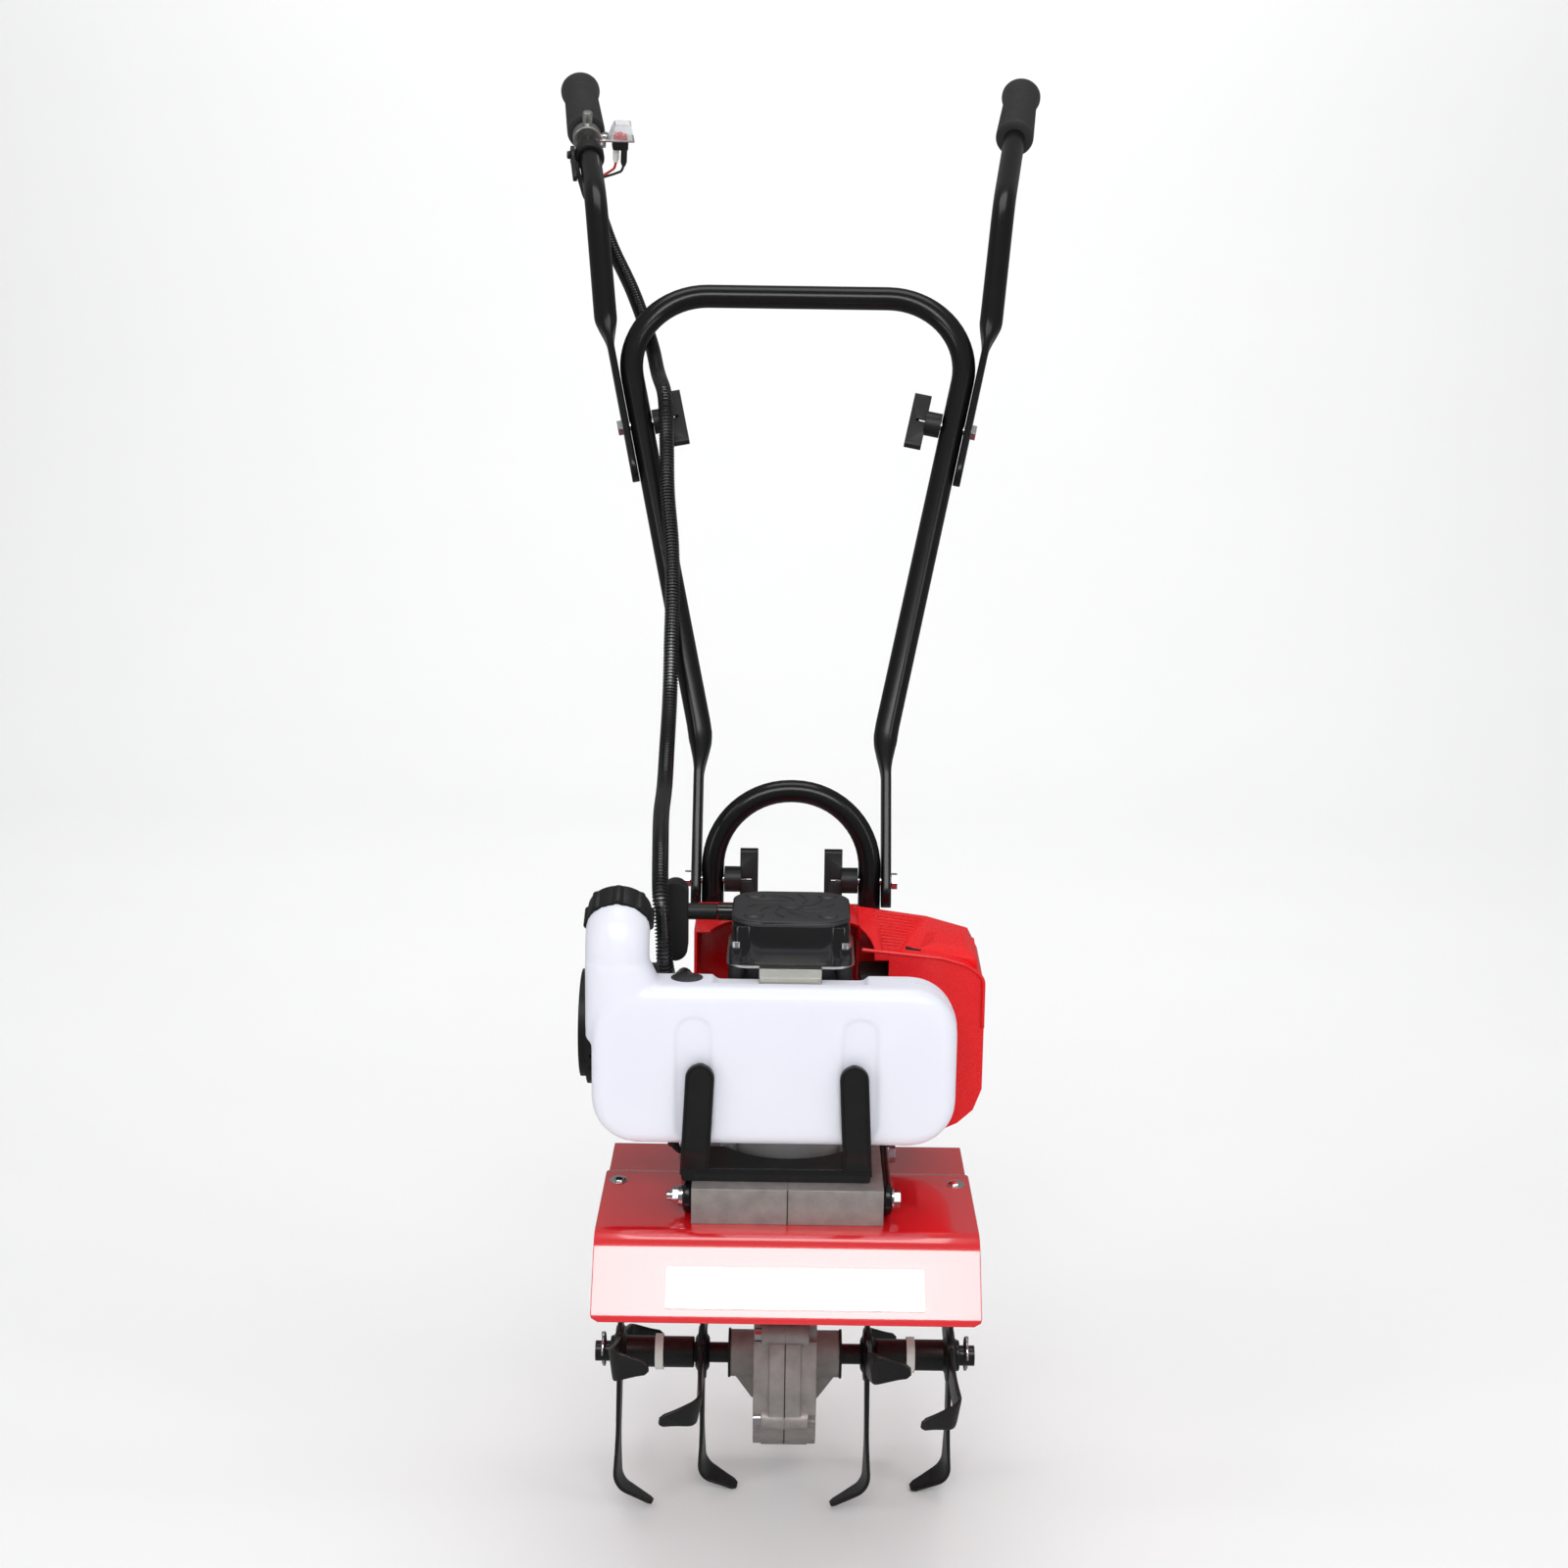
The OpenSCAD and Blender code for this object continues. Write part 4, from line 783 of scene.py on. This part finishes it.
def sheet(name, outline, width, corner, node, hole_low, hole_high, bend):
    """Folded sheet: outline is its middle line in (y, z), from the free edge to the far edge."""
    path = filled(bent([m(0, y, z) for y, z in outline], [0, bend, 0], 6), 0.003)
    total = sum((b - a).length for a, b in zip(path, path[1:]))
    rings, run = [], 0.0
    for i, (p, (t, u, v)) in enumerate(zip(path, transported(path, X_WAY))):
        run += (p - path[i - 1]).length if i else 0
        edge = min(run, total - run) * 1000
        r = corner[0] if run < total - run else corner[1]
        inset = r - math.sqrt(max(0.0, r * r - (r - min(edge, r)) ** 2))
        half = width / 2 - inset
        flat = SHEET_THICK / 2 * (1 if edge > 0.4 else 0.55)
        ring = []
        for end, start in ((1, -90), (-1, 90)):
            for k in range(7):
                a = math.radians(start + 30 * k)
                ring.append(p + u * (end * (half - flat) + flat * math.cos(a)) / 1000
                            + v * (flat * math.sin(a)) / 1000)
        rings.append(ring)
    piece = made(name, *skin(rings), RED_PAINT, "chassis", stands_for=(node,), angle=45)
    cut(piece, hole_low, hole_high)
    shaded(piece.data, 40)


HOLE_LOW, HOLE_HIGH = m(-27, -46, FENDER_Z - 20), m(27, 82, FENDER_Z + 10)
sheet("front_fender_sheet", [(-129.4, FENDER_Z - 56.6), (-85, FENDER_Z - 0.75), (50, FENDER_Z - 0.75)],
      310, (6, 5), "fender_front", HOLE_LOW, HOLE_HIGH, 0.024)
sheet("rear_fender_sheet", [(149.4, FENDER_Z - 46), (118, FENDER_Z - 2.3), (4, FENDER_Z - 2.3)],
      306, (14, 1), "fender_rear", HOLE_LOW, HOLE_HIGH, 0.008)

# Blank label on the flap, a hair above the paint
FLAP_DOWN = Vector((0, -45, -57)).normalized()
FLAP_OUT = Vector((0, -57, 45)).normalized()
label_rings = [round_cornered((-103, 27), (103, 61), 1.5, 5, lambda a, b: (
    m(7 + a, -85, FENDER_Z) + (FLAP_DOWN * b + FLAP_OUT * lift) / 1000)) for lift in (0.4, 1.1)]
made("flap_label", *skin(label_rings), LABEL, "chassis")

# Sand-cast gearbox halves: eased edges leave a groove along the joint
for node in ("gearbox_left_half", "gearbox_right_half"):
    softened(node, 0.0018, "chassis", CAST)
# Dark line where they meet, down the block's front and round the case
split = [tube([m(0, -65.1, 299.4), m(0, -65.1, 270.4)], 0.0004, Y_WAY, 8)]
for radius, first, last in ((74.1, 75, 33), (77.6, 31, -16), (74.1, -17, -88)):
    split.append(tube([m(0, -radius * math.cos(a), AXLE_Z + radius * math.sin(a))
                       for a in [math.radians(first + (last - first) * k / 24) for k in range(25)]],
                      0.0004, X_WAY, 8))
made("gearbox_split_line", *merged(*split), HOT_STEEL, "chassis")

# ---------- shroud, starter and filter ----------
softened("engine_cover", 0.0035, "chassis", RED_PLASTIC, 4)
SHROUD_FRONT, SHROUD_DEPTH = 56, 70


def shroud_top(x, y):
    """Height of the shroud's sloped top."""
    t = (y - SHROUD_FRONT) / SHROUD_DEPTH
    return 468 + 18 * t - (0.1 + 0.033 * t) * (x - 58)


# Cooling ribs across the top, longer towards the back
rib_solids = []
for k in range(12):
    y = 61 + 5.2 * k
    t = (y - SHROUD_FRONT) / SHROUD_DEPTH
    low_x, high_x = 77 - 7 * t, 92 + 28 * t
    rings = []
    for f, proud in ((0, 0.0), (0.1, 2.6), (0.9, 2.6), (1, 0.0)):
        x = low_x + (high_x - low_x) * f
        z = shroud_top(x, y) + proud
        rings.append([m(x, y + dy, z + dz) for dy, dz in ((-1.5, -4), (1.5, -4), (0.9, 0), (-0.9, 0))])
    rib_solids.append(skin(rings))
made("shroud_ribs", *merged(*rib_solids), RED_PLASTIC, "chassis")


def over_shroud(corners, lift):
    """Ring of corners at one height over the shroud's top."""
    return [m(x, y, shroud_top(x, y) + lift) for x, y in corners]


# Latch on the shroud: a thin black slab as painted shade where the slot opens, and the raised hump beside it
slot = ((97, 63), (110, 63), (113, 71), (98, 71))
hump_foot = ((106, 66), (158, 62), (158, 100), (114, 98))
hump_top = ((121, 71), (150, 69), (149, 92), (125, 92))
made("shroud_slot_shade", *skin([over_shroud(slot, -1), over_shroud(slot, 0.25)]), BLACK_PLASTIC, "chassis",
     smooth=False)
made("shroud_hump", *skin([over_shroud(hump_foot, -12), over_shroud(hump_foot, -1),
                           over_shroud(hump_top, 4.5)]), RED_PLASTIC, "chassis", smooth=False)
rim_path = bent([m(60, 55.2, 467.5), m(128, 55.2, 460.8), m(150, 55.2, 454.6), m(163.6, 55.2, 444),
                 m(163.8, 55.2, 400)], [0, 0.03, 0.03, 0.012, 0])
made("shroud_seam", *tube(filled(rim_path, 0.004), 0.0016, Y_WAY, 10), RED_PLASTIC, "chassis")


def square_ring(size, corner, z):
    """Round-cornered square round the crank's axis."""
    ring = []
    for q, (sx, sy) in enumerate(((1, 1), (-1, 1), (-1, -1), (1, -1))):
        for k in range(10):
            a = math.pi / 2 * (q + k / 10)
            ring.append(m(sx * (size / 2 - corner) + corner * math.cos(a),
                          WORM_Y + sy * (size / 2 - corner) + corner * math.sin(a), z))
    return ring


softened("starter_housing", 0.0012, "chassis", BLACK_GLOSS)
# Screw columns at its corners, then the grey cap with its relief
columns = []
for q in range(4):
    a = math.radians(45 + 90 * q)
    columns.append(lathe([(0.0095, 0), (0.0095, 0.030), (0.0088, 0.0315)],
                         m(55.5 * math.cos(a), WORM_Y + 55.5 * math.sin(a), 469.4), Z_WAY, 28))
made("starter_columns", *merged(*columns), BLACK_GLOSS, "chassis")
cap_rings = [square_ring(size, corner, z) for size, corner, z in (
    (98.9, 27.4, 501.2), (98.9, 27.4, 503.2), (98.2, 27, 504.4), (96.4, 26, 505.2), (93, 25, 505.7),
    (84, 22, 505.9), (60, 20, 506.1), (6, 2.8, 506.2))]
made("starter_cap", *skin(cap_rings), CAP_GREY, "chassis")
lobes, swirl = [], []
for q in range(4):
    a = math.radians(45 + 90 * q)
    c = m(43.5 * math.cos(a), WORM_Y + 43.5 * math.sin(a), 504.6)
    lobes.append(lathe([(0.0082, 0), (0.0082, 0.0016), (0.0072, 0.0028), (0.004, 0.0031), (0.0, 0.0031)], c,
                       Z_WAY, 28))
for q in range(10):
    pts = []
    for k in range(9):
        r = 12 + 24 * k / 8
        a = math.radians(36 * q + 5.5 * k)
        pts.append(m(r * math.cos(a), WORM_Y + r * math.sin(a), 506.0))
    swirl.append(tube(pts, 0.0009, Z_WAY, 8))
swirl.append(lathe([(0.0105, -0.0006), (0.0105, 0.0006), (0.009, 0.0014), (0.0, 0.0014)],
                   m(0, WORM_Y, 506), Z_WAY, 36))
made("starter_cap_relief", *merged(*lobes, *swirl), CAP_GREY, "chassis")
softened("starter_handle", 0.0045, "pull_handle", BLACK_PLASTIC, 4)
softened("air_filter_cover", 0.0018, "chassis", BLACK_PLASTIC)
softened("air_filter_base", 0.0012, "chassis", BLACK_PLASTIC, 2)
softened("muffler", 0.003, "chassis", HOT_STEEL)
softened("plug_cap", 0.0015, "chassis", RUBBER)
lead = [m(0, 190, 408), m(0, 193, 428), m(16, 178, 436), m(30, 168, 424), m(24, 158, 404), m(16, 148, 396)]
made("spark_lead", *tube(filled(bent(lead, [0, 0.012, 0.012, 0.012, 0.01, 0]), 0.003), 0.0034), RUBBER,
     "chassis")

# ---------- tines ----------
ARM_R, TIP_LEN, TIP_BEND = 108, 34, math.radians(62)


def arm(way):
    """One bent and twisted arm pointing down, its tip towards way along X."""
    tip = Vector((way * math.sin(TIP_BEND), 0, -math.cos(TIP_BEND)))
    path = filled(bent([Vector((0, 0, -0.014)), Vector((0, 0, -ARM_R / 1000)),
                        Vector((0, 0, -ARM_R / 1000)) + tip * TIP_LEN / 1000], [0, 0.016, 0], 9), 0.004)
    total = sum((b - a).length for a, b in zip(path, path[1:]))
    rings, run = [], 0.0
    for i, (p, (t, u, v)) in enumerate(zip(path, transported(path, X_WAY))):
        run += (p - path[i - 1]).length if i else 0
        f = run / total
        twist = math.radians(16) * eased((f - 0.35) / 0.6) * way
        u, v = u * math.cos(twist) + v * math.sin(twist), v * math.cos(twist) - u * math.sin(twist)
        half_w = mixed(14.6, 13.2, f / 0.7) if f < 0.7 else mixed(13.2, 6.2, (f - 0.7) / 0.3)
        half_t = mixed(2.1, 1.5, f)
        if total - run < 0.004:
            half_w *= 0.55 + 0.45 * math.sqrt((total - run) / 0.004)
        rings.append(oval(p, u, v, half_t / 1000, half_w / 1000, 5, 20))
    return skin(rings)


def rotor(x, a, ways, hub):
    """Four arms on a hub at x, turned by a; hub is how far its sleeve reaches each way."""
    solids = []
    centre = Vector((x / 1000, AXLE_Y / 1000, AXLE_Z / 1000))
    for k, way in enumerate(ways):
        turn = Matrix.Rotation(math.radians(-a - 90 * k), 3, "X")
        solids.append(moved(arm(way), lambda v, turn=turn: turn @ v + centre))
    solids.append(lathe([(r / 1000, z / 1000) for r, z in (
        (8.6, -3.5), (21, -3.5), (22, -2.7), (22, 2.7), (21, 3.5), (8.6, 3.5))], centre, X_WAY))
    low, high = hub
    solids.append(lathe([(r / 1000, z / 1000) for r, z in (
        (8.6, low), (12.2, low), (13, low + 0.8), (13, -5.6), (14.6, -4.6), (16, -3.4), (16, 3.4),
        (14.6, 4.6), (13, 5.6), (13, high - 0.8), (12.2, high), (8.6, high))], centre, X_WAY, 40))
    return merged(*solids)


INNER_X, OUTER_X = 70, 140
OUTER_HUB = OUTER_X - INNER_X - 7
made("inner_tines", *merged(rotor(-INNER_X, 0, (1, -1, 1, -1), (-6, 6)),
                            rotor(INNER_X, 20, (-1, 1, -1, 1), (-6, 6))),
     TINE_PAINT, "tines", stands_for=("inner_rotors",))
made("outer_tines", *merged(rotor(-OUTER_X, 20, (1, 1, 1, 1), (-8, OUTER_HUB)),
                            rotor(OUTER_X, 0, (-1, -1, -1, -1), (-OUTER_HUB, 8))),
     TINE_PAINT, "tines", stands_for=("outer_rotors",))

# Spring pins through the shaft's ends, each with its closing ring
for side, label in ((-1, "left"), (1, "right")):
    x = 154 * side
    loop = [m(x, 14.6 * math.cos(a), AXLE_Z + 14.6 * math.sin(a))
            for a in [math.radians(-80 + 10 * k) for k in range(26)]]
    made("clip_pin_" + label, *merged(tube([m(x, 0, AXLE_Z + 17), m(x, 0, AXLE_Z - 11.6)], 0.0019),
                                      tube(loop, 0.0014, X_WAY, 10)), CHROME, "tines")
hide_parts("shaft_clips")

# ---------- conduit ----------
ROUTE = [(-196, 527, 1076), (-183, 510, 1044), (-161, 486, 1002), (-142, 455, 956), (-133, 420, 928),
         (-124, 376, 908), (-121, 354, 866), (-119, 334, 822), (-114, 312, 778), (-112, 290, 734),
         (-112, 268, 690), (-112, 246, 646), (-113, 218, 606), (-113, 178, 579), (-113, 126, 566),
         (-111, 76, 548), (-109, 38, 520), (-106, 26, 490), (-104, 24, 462), (-100, 36, 440), (-96, 56, 436),
         (-90, 78, 436)]


def smooth_route(points, steps):
    """Curve through given points, in steps between each two."""
    out = []
    for i in range(len(points) - 1):
        a, b = points[max(i - 1, 0)], points[i]
        c, d = points[i + 1], points[min(i + 2, len(points) - 1)]
        for k in range(steps):
            t = k / steps
            out.append(0.5 * (2 * b + (c - a) * t + (2 * a - 5 * b + 4 * c - d) * t * t
                              + (3 * b - a - 3 * c + d) * t ** 3))
    out.append(points[-1])
    return out


def even(path, gap):
    """Points of equal spacing along a path."""
    out, left = [path[0]], gap
    for a, b in zip(path, path[1:]):
        length, at = (b - a).length, 0.0
        while length - at >= left:
            at += left
            out.append(a + (b - a) * (at / length))
            left = gap
        left -= length - at
    return out


coarse = smooth_route([m(*p) for p in ROUTE], 8)
fine_path = even(coarse, 0.00075)


def corrugated(path):
    """Ribbed sleeve: two rings on each rib, then two in each groove."""
    return tube(path, lambda i: (0.0071, 0.0071, 0.0053, 0.0053)[i % 4], Vector((0.3, 0.2, 0.93)), 14)


# Split into an upper and a lower half, both fixed in place
half_way = 4 * (next(i for i, p in enumerate(fine_path) if p.z < 0.735) // 4)
crossing("conduit_upper", corrugated(fine_path[:half_way + 1]), SLEEVE)
crossing("conduit_lower", corrugated(fine_path[half_way:]), SLEEVE,
         ("control_conduit",))

# ---------- controls on the left handle ----------
ALONG = sided(GRIP_DIR, -1)
IN = ALONG.cross(Z_WAY).normalized()
OVER = IN.cross(ALONG)
LEFT_END = sided(m(*GRIP_END), -1)
SWITCH_AT, LEVER_AT = 122, 166      # along the tube, before the grip's end


def on_left(d, x, y, z):
    """A point beside the left tube, d before the grip end: x inward, y up and forward, z along the tube."""
    return LEFT_END + (-ALONG * d + IN * x + OVER * y + ALONG * z) / 1000


def slab_on_left(d, low, high, radius):
    """Slab with rounded corners beside the left tube, between two corners."""
    return skin([round_cornered((low[0] + inset, low[2] + inset), (high[0] - inset, high[2] - inset),
                                radius - inset, 4, lambda x, z: on_left(d, x, y, z))
                 for y, inset in ((low[1], 0.4), (low[1] + 0.4, 0), (high[1] - 0.4, 0), (high[1], 0.4))])


clamp = lathe([(0.0111, -0.008), (0.0138, -0.008), (0.0145, -0.0072), (0.0145, 0.0052), (0.0138, 0.006),
               (0.0111, 0.006)], on_left(SWITCH_AT, 0, 0, 0), ALONG, 40)
made("switch_clamp", *slab_on_left(SWITCH_AT, (26, -10, -8), (42, -1, 8), 2), BLACK_PLASTIC,
     "left_bar", stands_for=("switch_body",))
band_post = lathe([(0.0042, -0.0012), (0.005, 0), (0.005, 0.0125), (0.0044, 0.014), (0.0, 0.0144)],
                  on_left(SWITCH_AT, 0, 13.2, 0), OVER, 28)
made("switch_band", *merged(clamp, band_post), ZINC_PLATE, "left_bar")
# The plate is left open round the rocker, so it is four strips
strips = [slab_on_left(SWITCH_AT, low, high, 0.4) for low, high in (
    ((12.5, -1, -9), (27, 1, 9)), ((41, -1, -9), (48, 1, 9)), ((26.5, -1, 5), (41.5, 1, 9)),
    ((26.5, -1, -9), (41.5, 1, -5)))]
made("switch_plate", *merged(*strips), ZINC_PLATE, "left_bar")
post = lathe([(0.0042, 0.001), (0.0052, 0.0014), (0.0052, 0.0038), (0.0044, 0.0048), (0.0, 0.0056)],
             on_left(SWITCH_AT, 17.5, 0, 0), OVER, 28)
post_low = lathe([(0.002, 0), (0.002, 0.009), (0.0, 0.0094)], on_left(SWITCH_AT, 17.5, -1, 0), -OVER, 16)
made("switch_screw", *merged(post, post_low), CHROME, "left_bar")
# Rings up the hood's outside and down its inside
hood = []
for y, low_x, high_x, half_z in ((1.2, 22.5, 46.5, 8.6), (8, 24.5, 46.2, 8.0), (15.5, 27.5, 44.5, 6.4),
                                 (16.4, 28.3, 43.7, 5.8), (15.2, 29, 43, 5.2), (8, 25.7, 45, 7.0),
                                 (1.2, 23.7, 45.3, 7.6)):
    hood.append([on_left(SWITCH_AT, x, y, z) for x, z in (
        (low_x, -half_z), (high_x, -half_z), (high_x, half_z), (low_x, half_z))])
hood_verts, hood_faces = skin(hood, False)
base = 4 * (len(hood) - 1)
hood_faces += [(0, 1, base + 1, base), (1, 2, base + 2, base + 1), (2, 3, base + 3, base + 2),
               (3, 0, base, base + 3)]
made("switch_hood", hood_verts, hood_faces, CLEAR, "left_bar", angle=30)

# Spade terminals in clear sleeves, and the two wires down to the conduit
WIRE_END = m(-196, 527, 1076)
for x, z, mat, label in ((30.5, 3.4, WIRE_RED, "red"), (38, -3.4, RUBBER, "black")):
    top = on_left(SWITCH_AT, x, -9.5, z)
    made("terminal_" + label, *lathe([(0.0029, 0), (0.0033, 0.001), (0.0033, 0.0145), (0.0018, 0.019)],
                                     top, -OVER, 20), NYLON if label == "red" else RUBBER, "left_bar")
    points = [top, on_left(123, x, -33, z), on_left(150, x - 13, -27, 0), on_left(186, 4, -17, 0),
              on_left(232, 2 if label == "red" else -2, -15.5, 0), WIRE_END + ALONG * 0.001]
    made("wire_" + label, *tube(filled(bent(points, [0, .007, .02, .03, .03, 0]), 0.003), 0.0013), mat,
         "left_bar")

# Throttle: rounded clamp and lever, its pivot screw and the cable to the conduit
softened("throttle_clamp", 0.0009, "left_bar", BLACK_PLASTIC, 2)
softened("throttle_lever", 0.0012, "throttle", BLACK_PLASTIC)
made("throttle_screw", *lathe([(0.0, -0.0012), (0.0032, -0.001), (0.0038, 0), (0.0038, 0.0012),
                               (0.0012, 0.0014)], on_left(LEVER_AT, -21.6, 0, 0), IN, 24),
     HOT_STEEL, "left_bar")
cable = [on_left(176, -13.4, -4, 0), on_left(192, -12.6, -8, 0), on_left(232, -8, -14.6, 0),
         WIRE_END + ALONG * 0.001 + IN * -0.003]
made("throttle_cable", *tube(filled(bent(cable, [0, .03, .03, 0]), 0.003), 0.0024), RUBBER, "left_bar")
made("rocker_marks", *slab_on_left(SWITCH_AT, (36.2, 3.4, -2.6), (37.4, 3.7, 2.6), 0.4), LABEL, "rocker")

# Starter rope from the housing's nozzle to the pull handle
rope_start, rope_end = m(-60, 70, 495), m(-91, 70, 495)
rope_path = [rope_start + (rope_end - rope_start) * (k / 90) for k in range(91)]
crossing("starter_rope", tube(rope_path, 0.002, Z_WAY, 12), BRAID)

# Carburettor return spring
coil = []
for k in range(121):
    a = 2 * math.pi * k / 12
    coil.append(m(-100 + 3.2 * math.cos(a), 94 + 3.2 * math.sin(a), 418 + k * 0.11))
made("return_spring", *tube(coil, 0.0005, Z_WAY, 6), CHROME, "chassis")
